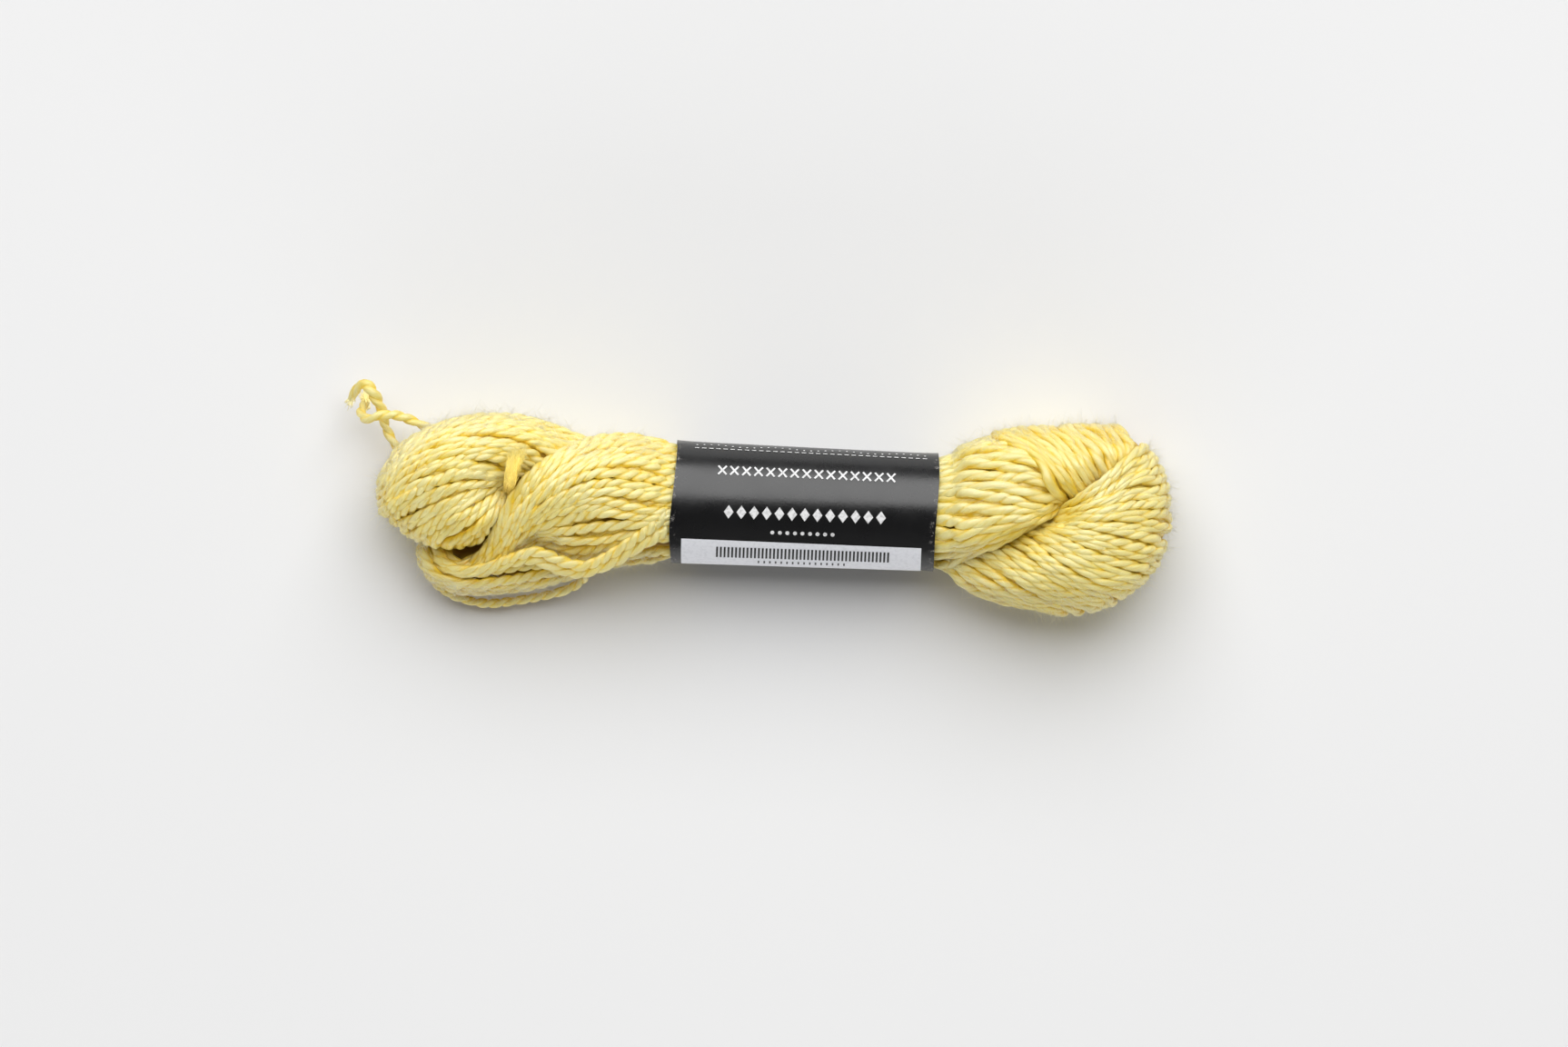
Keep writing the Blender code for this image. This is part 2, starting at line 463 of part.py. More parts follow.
def make_tie(silk):
    """The tie as one thread: two free legs, joined by the run that is hidden under the hank."""
    points = resample(TIE_ROUTE, TIE_STATIONS) * MM
    curve = bpy.data.curves.new("tie_thread", "CURVE")
    curve.dimensions = "3D"
    curve.bevel_depth = TIE_D / 2
    curve.bevel_resolution = 2
    curve.use_fill_caps = True
    spline = curve.splines.new("POLY")
    spline.points.add(len(points) - 1)
    for spot, point in zip(spline.points, points):
        spot.co = (*point, 1.0)
    curve.materials.append(silk)
    made = bpy.data.objects.new("tie_thread", curve)
    bpy.context.scene.collection.objects.link(made)
    return made


def make_cut_end(silk):
    bm = bmesh.new()
    add_tube(bm, CUT_END_ROUTE, CUT_END_RADII)
    return make_object("cut_end", bm, silk)


def main():
    for thing in list(bpy.data.objects):
        bpy.data.objects.remove(thing, do_unlink=True)
    silk = finish_material("silk_thread", SILK, 0.5, sheen=0.4)
    make_hank(silk)
    make_label(finish_material("label_paper", PAPER, 0.35))
    make_tie(silk)
    make_cut_end(silk)


main()
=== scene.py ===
"""The looks of a skein of embroidery floss: silk thread, its paper band and its tie.

X runs along the skein and Z is up. Sizes are in millimetres where a comment says nothing else.
The hank's bands of thread are the ones that its solid is made of. A band is described by a few
guide threads: each guide is one row of the band's table, and its columns are the places that the
thread passes, as (x, y, z). Single two-ply threads are laid side by side between the guides.
Everything rides on "root".
"""
from collections import namedtuple

import bmesh
import bpy
import numpy as np
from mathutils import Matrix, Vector


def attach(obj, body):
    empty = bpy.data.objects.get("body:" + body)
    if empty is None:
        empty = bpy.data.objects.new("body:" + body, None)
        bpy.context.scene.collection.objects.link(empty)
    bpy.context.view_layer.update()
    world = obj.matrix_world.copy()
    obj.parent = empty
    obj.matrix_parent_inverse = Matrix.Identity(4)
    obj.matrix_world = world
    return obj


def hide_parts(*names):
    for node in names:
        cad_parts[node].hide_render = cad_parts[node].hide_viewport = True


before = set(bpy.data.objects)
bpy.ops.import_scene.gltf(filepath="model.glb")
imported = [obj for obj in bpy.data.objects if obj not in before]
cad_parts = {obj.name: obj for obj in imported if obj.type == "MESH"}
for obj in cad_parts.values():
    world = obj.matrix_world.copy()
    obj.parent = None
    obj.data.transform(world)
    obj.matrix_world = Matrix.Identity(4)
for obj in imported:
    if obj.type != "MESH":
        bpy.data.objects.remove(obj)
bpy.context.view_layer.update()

MM = 0.001
SEED = 41
SLIPPED_DRAWS, FUZZ_DRAWS, TIE_DRAWS, CUT_END_DRAWS, LABEL_DRAWS = range(50, 55)  # with SEED

# --- camera, light and floor, in metres ---
PICTURE_WIDTH = 0.1985  # what the picture spans at the skein's middle height
CAMERA_AIM = Vector((1.035, -1.15, 8.0)) * MM
CAMERA_DISTANCE = 1.5
SENSOR_WIDTH = 36.0  # mm

Lamp = namedtuple("Lamp", "name size place watts shows_in_gloss")
LAMPS = (
    Lamp("softbox", (2.6, 2.1), Vector((0.10, 1.12, 1.45)), 54.0, True),
    Lamp("reflector_card", (1.8, 0.5), Vector((-0.10, -1.15, 0.24)), 6.6, False),
)
# The room's light, as (z of the way one looks, brightness): low down, and overhead by the camera.
SKY_LOW = (0.60, 0.16)
SKY_OVERHEAD = (0.98, 0.04)
FLOOR_HALF = 3.0
FLOOR_COLOUR = (0.85, 0.85, 0.85, 1.0)

# --- thread ---
THREAD_R = 0.62  # half the width of a two-ply thread
THREAD_PITCH = 1.12  # between threads that lie side by side
THREAD_SIZES = (0.92, 1.06)  # the least and most, as a share of THREAD_R
NARROWEST = 0.86  # how far a thread shrinks between close neighbours, as a share of its size
WIDEST = 1.30  # how far it spreads to fill a wider place, as a share of its width
CROSSINGS = (0.0, 0.0, 0.0, 0.7, -0.7)  # by how many threads one moves across its neighbours
SINK = 0.9  # how far down a thread goes for each one too many in its place
LAYER_DEPTH = 0.85  # from the outer threads down to those of the layer below
LAYER_SHADE_GOLD = 0.45  # painted shade: how much deeper the gold is in the layer below
FLOOR_CLEAR = 0.66  # the least height of a thread's middle
STATIONS = 64  # points on a thread's line before it is turned into rings

PLY_PITCH = (3.4, 4.8)  # thread for one full turn of the two plies, the least and most
PLY_CORNERS = (0, 36, 62, 78, 90, 102, 118, 144)  # degrees round one ply; 90 is the crease
PLY_FLATNESS = 0.10
CREASE_DEPTH = 0.42  # as a share of the thread's radius
CREASE_WIDTH = 28  # degrees
CREASE_SHADE_WIDTH = 18  # degrees, of the painted shade gold along the crease
FLANK_SHADE_GOLD = ((0.0, 0.45, 0.85), (1.0, 0.45, 0.0))  # how far a ply faces outward, and its painted shade gold there: deeper on the flanks that face in
STREAK_SHIFT = 40.0  # the most that one thread's streaks are shifted along it
RING_STEP = 0.34  # between the rings that a thread is built of
LOW_CORNERS = (0, 50, 90, 130)  # the same two for threads that hardly show
LOW_STEP = 0.5

RollStep = namedtuple("RollStep", "inward sideways height")
ROLL = (  # the way of a thread from the rim back under the hank
    RollStep(0.9, 1.0, 3.8),
    RollStep(3.2, 2.2, 0.8),
    RollStep(6.5, 3.6, 0.8),
)
SHOULDER_OUT = 0.72  # place of the shoulder between a thread's brow and its rim
SHOULDER_UP = 0.66

FUZZ_COUNT = 8000
FUZZ_THICKNESS = (0.03, 0.05)
FUZZ_REACH = (0.5, 1.5)
FUZZ_ON_TOP = 0.12  # share of the stray fibres that are kept where a thread faces up
WORN_SHARE = 0.10  # of the stray fibres that stand on the loose threads of the small loop

SILKS = {  # colour on a ply's crest, in paler patches, and the painted shade deep in the grooves and gaps
    "silk": ((0.83, 0.74, 0.27), (0.86, 0.80, 0.38), (0.80, 0.57, 0.025)),
    "silk_frayed": ((0.97, 0.88, 0.46), (0.97, 0.91, 0.58), (0.88, 0.72, 0.22)),
    # Painted light: the stray fibres are a paler, nearly white copy of the silk, for the light through them.
    "silk_fuzz_painted_light": ((0.98, 0.95, 0.78), (0.99, 0.97, 0.86), (0.96, 0.90, 0.66)),
    "silk_cut": ((0.83, 0.74, 0.27), (0.89, 0.82, 0.40), (0.74, 0.57, 0.09)),
}
STREAK_HEIGHT = 0.00012  # m, of the fine streaks on the laid threads

# --- label ---
LABEL_CENTRE = np.array((3.7, 0.95, 8.6))
LABEL_TURN = np.radians(-2.33)
LABEL_LENGTH = 33.2
LABEL_HALF_WIDTHS = (7.7, 7.4)  # at its left and right end
LABEL_HALF_HEIGHT = 6.8
LABEL_CURVE_R = 7.15  # of its top, for measuring round it
LABEL_COLUMNS = 150  # points round it, and rows of them along it
LABEL_ROWS = 44
SEAM_ANGLE = np.radians(-118.0)  # where the paper's inner end lies, under the skein
SEAM_OVERLAP = np.radians(26.0)
SEAM_RAMP = 0.15  # radians, over which the outer end climbs onto the inner one
SEAM_LIFT = 0.27
PAPER = 0.25  # how thick it is
PAPER_CLEAR = 0.12  # between the paper and the thread
# Past the label's end (mm), how much further the threads may stand out, in half heights.
SWELL = ((-0.4, 0.5, 2.2, 5.0, 6.0), (0.0, 0.02, 0.13, 0.6, 9.0))

# The generic design: rows of marks, by their place along the label and round it from its top line.
MarkRow = namedtuple("MarkRow", "start step count round")
STITCHES = MarkRow(-14.2, 0.9, 33, -7.9)
CROSSES = MarkRow(-10.6, 1.52, 15, -4.15)
DIAMONDS = MarkRow(-9.6, 1.6, 13, 0.95)
DOTS = MarkRow(-4.0, 0.95, 9, 3.3)
BARS = MarkRow(-11.0, 0.48, 46, 6.6)
TICKS = MarkRow(-5.6, 0.72, 16, 8.625)
PANEL = ((-15.45, 4.55), (14.85, 4.75), (14.95, 12.2), (-15.35, 12.0))
INK_LIFT, PANEL_LIFT, BARS_LIFT = 0.07, 0.08, 0.11  # off the paper

# --- bands of thread ---
# Right end, from the label to the eye of the fold.
FROM_LABEL = (
    # in_label, collar, shoulder, crown, eye, sunk
    ((15.0, -6.4, 8.6), (20.2, -6.2, 8.9), (23.8, -5.4, 11.0),
     (27.4, -4.0, 13.4), (31.0, -2.1, 14.6), (35.6, 0.2, 12.0)),
    ((15.0, -3.4, 14.0), (20.2, -3.3, 14.2), (24.6, -3.1, 15.4),
     (29.0, -2.2, 16.2), (32.8, -0.9, 15.6), (36.4, 0.8, 12.4)),
    ((15.0, 0.6, 15.0), (20.3, 0.6, 15.3), (24.8, 0.3, 16.6),
     (29.4, 0.0, 17.2), (33.4, 0.0, 16.4), (36.6, 1.2, 13.0)),
    ((15.0, 4.4, 13.4), (20.5, 4.6, 13.8), (25.4, 5.2, 15.9),
     (30.7, 4.5, 17.0), (34.6, 3.4, 16.0), (37.4, 2.2, 13.2)),
    ((15.0, 6.5, 10.6), (20.6, 6.7, 11.2), (24.4, 7.8, 13.2),
     (28.4, 8.2, 14.8), (32.4, 7.2, 15.4), (36.4, 4.6, 13.4)),
    ((15.0, 7.1, 8.4), (20.6, 7.2, 8.6), (23.8, 8.4, 8.9),
     (27.6, 9.8, 9.2), (31.4, 10.2, 9.6), (35.8, 9.4, 10.0)),
)
# Right end, over the far side and down to the fold.
OVER_TOP = (
    # rim                 brow                crown               slope               sunk
    ((27.4, 10.0, 8.8), (31.4, 8.2, 14.9), (33.8, 6.1, 16.9), (34.9, 3.6, 17.0), (36.9, 0.8, 13.0)),
    ((31.5, 10.6, 8.6), (34.3, 8.7, 14.6), (36.8, 5.7, 16.8), (38.4, 3.2, 16.0), (39.8, 1.0, 12.0)),
    ((34.6, 10.8, 8.5), (36.9, 8.7, 14.4), (38.5, 6.8, 16.2), (39.7, 4.8, 15.6), (41.2, 2.2, 12.0)),
    ((38.0, 11.0, 8.4), (39.8, 9.6, 13.2), (40.9, 7.8, 15.2), (41.6, 5.6, 15.0), (42.2, 3.2, 12.0)),
    ((43.0, 10.8, 8.2), (44.2, 9.8, 11.6), (44.7, 8.7, 13.2), (44.4, 7.5, 13.8), (44.2, 5.4, 12.0)),
)
# Right end, the fold itself: the threads fan out of the eye and over the near side and the end.
FOLD = (
    # sunk                 rise                crown               brow                rim
    ((19.6, -5.2, 7.6), (21.9, -7.6, 7.9), (24.4, -9.4, 8.0), (27.8, -10.6, 7.8), (32.6, -11.6, 7.2)),
    ((20.8, -4.0, 9.0), (24.4, -6.5, 10.6), (27.6, -8.6, 12.0), (31.0, -10.5, 11.0), (36.0, -12.3, 7.6)),
    ((26.4, -3.2, 10.0), (29.4, -5.0, 13.4), (32.9, -7.7, 15.2), (36.4, -9.7, 14.2), (41.2, -11.7, 8.0)),
    ((29.6, -1.8, 10.6), (32.6, -3.2, 14.6), (36.4, -5.9, 17.0), (40.6, -8.3, 16.0), (45.4, -9.2, 8.2)),
    ((31.8, -1.0, 11.0), (34.6, -2.0, 15.2), (38.4, -3.4, 17.7), (43.2, -5.2, 16.2), (48.0, -6.2, 8.4)),
    ((33.4, -0.6, 11.4), (35.8, -1.1, 15.4), (39.6, -1.4, 17.8), (44.7, -2.2, 16.0), (49.4, -2.8, 8.6)),
    ((34.4, -0.2, 11.8), (36.6, 0.0, 15.6), (40.4, 0.6, 17.8), (45.0, 1.4, 15.8), (49.6, 1.4, 8.7)),
    ((35.0, 0.2, 12.2), (37.2, 1.0, 15.8), (40.8, 2.6, 17.6), (44.5, 4.6, 15.8), (48.6, 5.6, 8.8)),
    ((35.2, 0.6, 12.4), (37.6, 1.8, 15.8), (40.6, 3.7, 17.4), (43.8, 6.4, 15.9), (46.8, 8.4, 9.2)),
)
# Left end, the bundle that leaves the label, dips and turns round the small loop.
SWEEP = (
    # in_label, collar, hump, crest, slope, bend, fall, foot, turn, back, rise, tuck, hidden
    ((-9.0, 8.4, 8.6), (-13.2, 8.6, 8.7), (-18.0, 9.7, 9.4), (-23.0, 9.4, 11.4), (-27.6, 7.6, 14.2),
     (-30.7, 5.2, 15.6), (-33.0, 2.4, 15.0), (-34.7, -0.6, 13.6), (-36.3, -3.6, 10.6),
     (-37.8, -5.5, 8.2), (-39.8, -6.3, 7.6), (-41.4, -5.2, 7.2), (-41.6, -3.2, 5.6)),
    ((-9.0, 5.6, 13.4), (-13.2, 6.0, 13.6), (-18.0, 7.1, 15.0), (-22.8, 6.6, 16.0), (-26.6, 4.9, 16.4),
     (-29.6, 2.6, 16.0), (-32.2, 0.0, 14.8), (-34.4, -2.7, 12.8), (-36.6, -5.1, 9.9),
     (-38.9, -6.7, 8.2), (-41.4, -6.6, 7.2), (-42.8, -4.9, 6.6), (-42.8, -2.8, 5.4)),
    ((-9.0, 2.6, 15.0), (-13.4, 2.8, 15.2), (-17.8, 3.2, 16.0), (-22.2, 3.6, 16.7), (-26.3, 2.6, 16.4),
     (-29.6, 0.8, 15.4), (-32.4, -1.3, 13.8), (-34.6, -3.8, 11.8), (-37.0, -6.1, 9.2),
     (-39.8, -7.4, 7.6), (-42.5, -6.8, 6.6), (-43.8, -4.8, 5.8), (-43.6, -2.7, 5.0)),
    ((-9.0, -0.4, 15.0), (-13.7, -0.2, 15.2), (-17.8, 0.2, 15.6), (-22.2, 0.8, 15.9), (-26.3, 0.2, 15.2),
     (-29.8, -1.1, 14.0), (-32.6, -3.0, 12.2), (-35.0, -5.1, 10.4), (-37.6, -6.9, 8.2),
     (-40.6, -7.9, 6.8), (-43.3, -6.9, 6.0), (-44.5, -4.8, 5.4), (-44.2, -2.7, 4.8)),
    ((-9.0, -2.6, 13.8), (-14.0, -2.0, 14.0), (-18.4, -2.4, 13.8), (-22.6, -3.3, 13.2), (-26.2, -3.5, 12.2),
     (-29.6, -2.7, 11.8), (-32.4, -3.8, 10.6), (-35.2, -5.6, 9.2), (-38.0, -7.2, 7.6),
     (-41.1, -8.1, 6.2), (-43.7, -7.0, 5.6), (-44.7, -4.9, 5.2), (-44.4, -2.8, 4.8)),
    ((-9.0, -4.0, 12.0), (-14.6, -3.0, 13.0), (-19.0, -3.7, 12.2), (-23.2, -4.8, 10.8), (-26.8, -5.0, 9.4),
     (-30.0, -4.2, 9.4), (-33.0, -5.3, 9.0), (-35.8, -6.6, 8.2), (-38.4, -7.6, 6.9),
     (-41.4, -8.4, 5.8), (-43.9, -7.1, 5.2), (-44.8, -5.0, 4.8), (-44.5, -2.9, 4.4)),
)
# Left end, the lower bundle: out of the label beneath the first, and round the small loop.
LOWER_LOOP = (
    # in_label, collar, under, back, middle, belly, bight, corner, turn, tuck, hidden
    ((-9.0, -4.0, 11.6), (-13.6, -3.8, 11.8), (-18.2, -4.2, 10.2), (-22.8, -5.6, 9.0), (-28.2, -6.2, 8.8),
     (-33.8, -7.0, 8.8), (-38.6, -7.6, 8.5), (-41.7, -7.0, 8.0), (-43.0, -5.3, 7.4),
     (-43.1, -3.4, 6.0), (-42.2, -1.6, 5.2)),
    ((-9.0, -5.2, 9.4), (-13.6, -5.0, 9.6), (-18.0, -5.3, 8.8), (-23.4, -6.3, 8.2), (-28.8, -7.3, 8.2),
     (-34.4, -8.0, 8.2), (-39.2, -8.4, 8.0), (-42.4, -7.4, 7.5), (-43.9, -5.5, 7.0),
     (-44.0, -3.6, 5.6), (-43.1, -1.8, 5.0)),
    ((-9.0, -5.6, 7.6), (-13.6, -5.6, 7.6), (-18.0, -5.9, 6.8), (-23.8, -6.8, 6.6), (-29.2, -8.2, 6.8),
     (-34.8, -8.9, 6.9), (-39.7, -9.0, 6.8), (-42.9, -7.9, 6.6), (-44.5, -5.8, 6.4),
     (-44.6, -3.8, 5.4), (-43.8, -2.0, 4.8)),
    ((-9.0, -5.4, 6.0), (-13.6, -5.6, 6.0), (-18.0, -5.9, 4.8), (-24.0, -7.1, 4.6), (-29.4, -8.7, 4.8),
     (-35.0, -9.6, 5.0), (-40.1, -9.7, 5.1), (-43.2, -8.2, 5.0), (-44.9, -6.0, 5.0),
     (-45.1, -4.0, 4.6), (-44.3, -2.2, 4.3)),
)
# Left end, the loose waves that cross from the first bundle to the lower one.
LOOSE_WAVES = (
    # collar, dip, trough, swell, crest, slope, foot, bend, corner, turn, tuck, hidden
    ((-13.6, -0.2, 15.1), (-17.0, -2.6, 14.4), (-20.6, -4.9, 13.0), (-24.4, -6.4, 11.8), (-27.2, -5.8, 11.8),
     (-30.0, -4.8, 12.2), (-33.4, -5.6, 11.2), (-36.8, -6.7, 9.8), (-39.8, -7.0, 9.0),
     (-41.9, -6.0, 8.2), (-42.4, -4.2, 7.0), (-42.1, -2.4, 5.8)),
    ((-13.6, -1.6, 14.6), (-17.2, -3.7, 13.6), (-20.9, -5.9, 12.2), (-24.8, -7.3, 10.8), (-27.8, -6.7, 10.8),
     (-30.4, -5.8, 11.2), (-33.8, -6.5, 10.2), (-37.1, -7.5, 9.2), (-40.1, -7.7, 8.4),
     (-42.4, -6.6, 7.8), (-43.2, -4.6, 6.8), (-42.9, -2.6, 5.8)),
)
# Left end, the upper half of the tucked lobe: over its top and round the tip.
TUCKED_TOP = (
    # sunk, rise, crown, brow, tip, rim
    ((-23.8, 9.4, 8.4), (-28.0, 11.2, 8.6), (-35.0, 12.4, 8.6),
     (-42.6, 11.2, 8.5), (-47.2, 8.6, 8.4), (-49.9, 4.8, 8.2)),
    ((-26.0, 7.8, 12.0), (-29.4, 9.9, 12.6), (-35.4, 11.6, 12.4),
     (-41.6, 10.9, 12.2), (-46.6, 8.2, 11.4), (-50.1, 4.0, 8.2)),
    ((-28.4, 6.6, 12.8), (-31.6, 8.8, 14.4), (-36.4, 10.0, 15.2),
     (-42.0, 9.4, 14.8), (-46.6, 7.0, 13.2), (-50.2, 3.2, 8.2)),
    ((-30.6, 5.6, 13.1), (-33.6, 7.8, 15.2), (-37.6, 8.4, 16.4),
     (-42.2, 7.8, 16.0), (-46.6, 5.8, 14.0), (-50.2, 2.4, 8.2)),
    ((-32.4, 4.8, 13.0), (-35.2, 6.2, 15.2), (-39.0, 6.6, 16.8),
     (-43.2, 6.0, 16.4), (-47.0, 4.4, 14.0), (-50.1, 1.6, 8.2)),
    ((-33.6, 4.3, 12.8), (-36.2, 4.9, 15.2), (-39.6, 5.0, 16.8),
     (-43.6, 4.4, 16.4), (-47.2, 3.0, 13.6), (-49.9, 0.8, 8.2)),
)
# Left end, the lower half of the tucked lobe: out of its eye and over the near side.
TUCKED_LOW = (
    # sunk                 rise                 crown                brow                  rim
    ((-33.7, 4.2, 12.6), (-36.3, 4.6, 15.1), (-40.2, 4.5, 16.8), (-44.8, 3.4, 15.9), (-49.9, 0.5, 8.2)),
    ((-33.8, 4.1, 12.5), (-36.4, 4.2, 15.0), (-40.6, 3.8, 16.6), (-45.4, 2.2, 15.0), (-49.6, 0.2, 8.2)),
    ((-34.0, 3.8, 12.5), (-36.8, 3.2, 14.8), (-40.6, 2.0, 16.2), (-44.4, 0.5, 14.4), (-47.8, -1.1, 8.2)),
    ((-34.1, 3.5, 12.5), (-36.8, 2.0, 14.6), (-39.8, 0.4, 15.8), (-43.0, -1.2, 14.0), (-45.8, -2.7, 8.4)),
    ((-34.1, 3.2, 12.5), (-36.4, 0.9, 14.4), (-38.7, -0.8, 15.2), (-41.4, -2.4, 13.4), (-43.4, -3.8, 8.6)),
    ((-34.0, 2.9, 12.5), (-35.8, 0.4, 14.2), (-37.4, -1.5, 14.4), (-39.4, -2.9, 12.4), (-41.2, -3.9, 8.8)),
    ((-33.7, 2.5, 12.5), (-34.9, 0.5, 13.6), (-35.6, -1.1, 13.2), (-36.4, -2.4, 11.4), (-37.6, -3.4, 8.6)),
)
# Left end, the far side of the tucked lobe below its middle, which the camera doesn't see.
TUCKED_FAR = (
    # sunk, rise, flank, middle, brow, tip
    ((-22.4, 8.2, 7.2), (-26.0, 10.0, 7.4), (-29.6, 11.5, 7.5),
     (-35.4, 12.3, 7.4), (-42.4, 11.1, 7.3), (-48.0, 7.6, 7.2)),
    ((-22.2, 7.4, 5.0), (-26.0, 9.4, 4.9), (-29.6, 10.9, 4.8),
     (-35.4, 11.7, 4.6), (-42.2, 10.6, 4.6), (-47.4, 7.2, 5.0)),
    ((-22.4, 6.0, 3.0), (-26.2, 8.2, 2.6), (-30.0, 9.6, 2.4),
     (-35.4, 10.2, 2.2), (-41.8, 9.2, 2.3), (-46.2, 6.2, 3.0)),
    ((-23.0, 4.0, 2.0), (-27.0, 6.0, 1.2), (-31.0, 7.2, 0.9),
     (-35.4, 7.6, 0.8), (-41.0, 6.8, 0.8), (-44.6, 4.6, 1.4)),
)
# The one thread that has slipped out and hangs below the small loop.
SLIPPED_THREAD = (  # listed point by point
    (-22.6, -5.4, 6.8), (-23.7, -6.9, 5.8), (-24.5, -8.3, 4.6), (-26.4, -9.5, 3.5), (-29.8, -10.4, 2.8),
    (-33.4, -11.0, 2.4), (-36.6, -11.3, 2.3), (-39.8, -10.7, 2.6), (-42.4, -9.4, 3.2), (-44.2, -7.4, 3.8),
)
SLIPPED_FACES = (0.0, -0.5, 0.85)  # the way that its outer side faces

# The far side and the underside of the waists, which the camera doesn't see.
UNDER_RIGHT = (
    # in_label            collar              shoulder            flank               sunk
    ((15.0, -6.1, 8.2), (20.2, -6.2, 8.2), (24.5, -7.8, 7.2), (29.0, -10.0, 6.2), (34.0, -10.4, 5.2)),
    ((15.0, -4.4, 4.4), (20.2, -4.6, 4.2), (25.0, -6.2, 3.2), (30.0, -7.8, 1.8), (36.0, -8.2, 0.9)),
    ((15.0, 0.5, 2.6), (20.2, 0.4, 2.6), (25.5, 0.2, 1.9), (31.0, 0.0, 1.0), (37.0, -0.5, 0.8)),
    ((15.0, 5.2, 4.4), (20.2, 5.3, 4.3), (25.0, 6.4, 3.4), (30.0, 7.6, 2.0), (36.0, 7.6, 1.0)),
    ((15.0, 6.9, 8.2), (20.5, 7.1, 8.0), (24.5, 8.5, 7.6), (29.0, 9.8, 6.8), (34.0, 10.2, 6.0)),
)
UNDER_LEFT = (
    # in_label, collar, shoulder, flank, foot, sunk
    ((-9.0, -5.2, 6.4), (-13.6, -5.2, 6.2), (-18.4, -5.0, 4.4),
     (-23.5, -5.6, 2.4), (-30.0, -6.8, 1.2), (-36.0, -7.4, 0.9)),
    ((-9.0, -2.4, 3.4), (-13.6, -2.4, 3.3), (-19.0, -2.2, 2.2),
     (-25.0, -2.0, 1.2), (-31.0, -2.0, 0.8), (-37.0, -1.5, 0.8)),
    ((-9.0, 2.2, 2.6), (-13.4, 2.2, 2.6), (-19.0, 2.6, 1.9),
     (-25.0, 3.0, 1.1), (-31.0, 3.4, 0.8), (-37.0, 4.0, 0.8)),
    ((-9.0, 6.6, 4.2), (-13.4, 6.6, 4.2), (-19.0, 7.4, 3.4),
     (-25.0, 7.8, 2.6), (-30.0, 6.6, 2.2), (-35.0, 6.0, 2.0)),
    ((-9.0, 8.3, 8.0), (-13.2, 8.5, 8.0), (-18.0, 9.6, 8.2),
     (-23.0, 9.4, 7.4), (-27.6, 8.8, 6.2), (-33.0, 8.0, 5.6)),
)

RIGHT_MIDDLE = (35.0, -1.0, 8.6)
TUCK_MIDDLE = (-41.0, 4.6, 8.3)
SWEEP_MIDDLE = (-28.0, 0.0, 7.5)

# Deep creases of the hank, each from one (x, y) to another, and how far their painted shade reaches.
DEEP_CREASES = (
    ((28.5, -4.0), (36.8, 1.0)),
    ((-34.2, 2.6), (-33.4, 5.6)),
    ((-41.5, -4.8), (-36.6, -3.4)),
)
CREASE_REACH = 2.4

# Filling under the threads: (x, y, z) of the middle, and half sizes along x, y and z.
CORES = (
    ((35.2, -1.2, 7.2), (12.0, 8.6, 5.6)),
    ((40.6, -0.6, 9.4), (6.6, 5.6, 6.0)),
    ((27.0, 1.4, 8.4), (8.0, 6.0, 5.8)),
    ((43.8, 7.2, 6.4), (2.8, 2.6, 5.0)),
    ((-41.4, 4.6, 7.4), (6.8, 5.4, 6.4)),
    ((-38.6, -4.0, 3.0), (4.2, 2.4, 2.2)),
    ((-33.0, -3.2, 4.6), (4.4, 3.2, 3.2)),
    ((-31.5, 6.8, 7.2), (6.4, 3.4, 5.4)),
    ((-24.0, 2.2, 8.6), (8.6, 5.4, 6.0)),
    ((-33.8, 4.0, 11.4), (2.2, 2.4, 2.2)),
    ((-30.0, 7.6, 11.0), (2.6, 1.4, 2.2)),
    ((-34.5, -7.0, 5.6), (6.5, 1.9, 2.0)),
)
WAIST = ((-22.0, 2.0), (-12.9, 1.6), (20.3, 0.26), (25.0, 0.8))  # (x, y) of its middle
WAIST_STATIONS = 24
WAIST_SIDES = 40
WAIST_HALF_WIDTH = 5.7
WAIST_HALF_HEIGHT = 5.1

Band = namedtuple("Band", "guides rolled_end middle threads wander lift pitch crease gold lined")
# Threads side by side, how many of them one wanders across, how far it lifts, its twist's pitch, its
# share of the full crease, its added gold of painted shade, and the stations between which threads lie below,
# darker with painted shade.
BANDS = {
    "from_label": Band(FROM_LABEL, None, RIGHT_MIDDLE, 17, 0.24, 0.12, (4.6, 7.0), 0.60, 0.0, (6, 58)),
    # The far side's threads face the softbox; their added gold is painted shade, which darkens them.
    "over_top": Band(OVER_TOP, "start", RIGHT_MIDDLE, 14, 0.30, 0.16, (6.5, 11.0), 0.55, 0.3, (6, 58)),
    "fold": Band(FOLD, "end", RIGHT_MIDDLE, 34, 0.28, 0.14, (4.2, 6.0), 0.80, 0.0, (6, 58)),
    "sweep": Band(SWEEP, None, SWEEP_MIDDLE, 18, 0.26, 0.12, PLY_PITCH, 1.0, 0.0, (4, 40)),
    "lower_loop": Band(LOWER_LOOP, None, SWEEP_MIDDLE, 4, 0.10, 0.10, PLY_PITCH, 1.0, 0.0, None),
    "loose_waves": Band(LOOSE_WAVES, None, SWEEP_MIDDLE, 2, 0.12, 0.08, PLY_PITCH, 1.0, 0.0, None),
    "tucked_top": Band(TUCKED_TOP, "end", TUCK_MIDDLE, 14, 0.32, 0.12, PLY_PITCH, 0.9, 0.0, (3, 58)),
    "tucked_low": Band(TUCKED_LOW, "end", TUCK_MIDDLE, 14, 0.32, 0.12, PLY_PITCH, 0.9, 0.0, (3, 58)),
    "tucked_far": Band(TUCKED_FAR, None, TUCK_MIDDLE, 8, 0.30, 0.12, PLY_PITCH, 0.9, 0.0, None),
    "under_right": Band(UNDER_RIGHT, None, RIGHT_MIDDLE, 16, 0.30, 0.10, PLY_PITCH, 1.0, 0.0, (6, 58)),
    "under_left": Band(UNDER_LEFT, None, SWEEP_MIDDLE, 16, 0.30, 0.10, PLY_PITCH, 1.0, 0.0, (6, 58)),
}

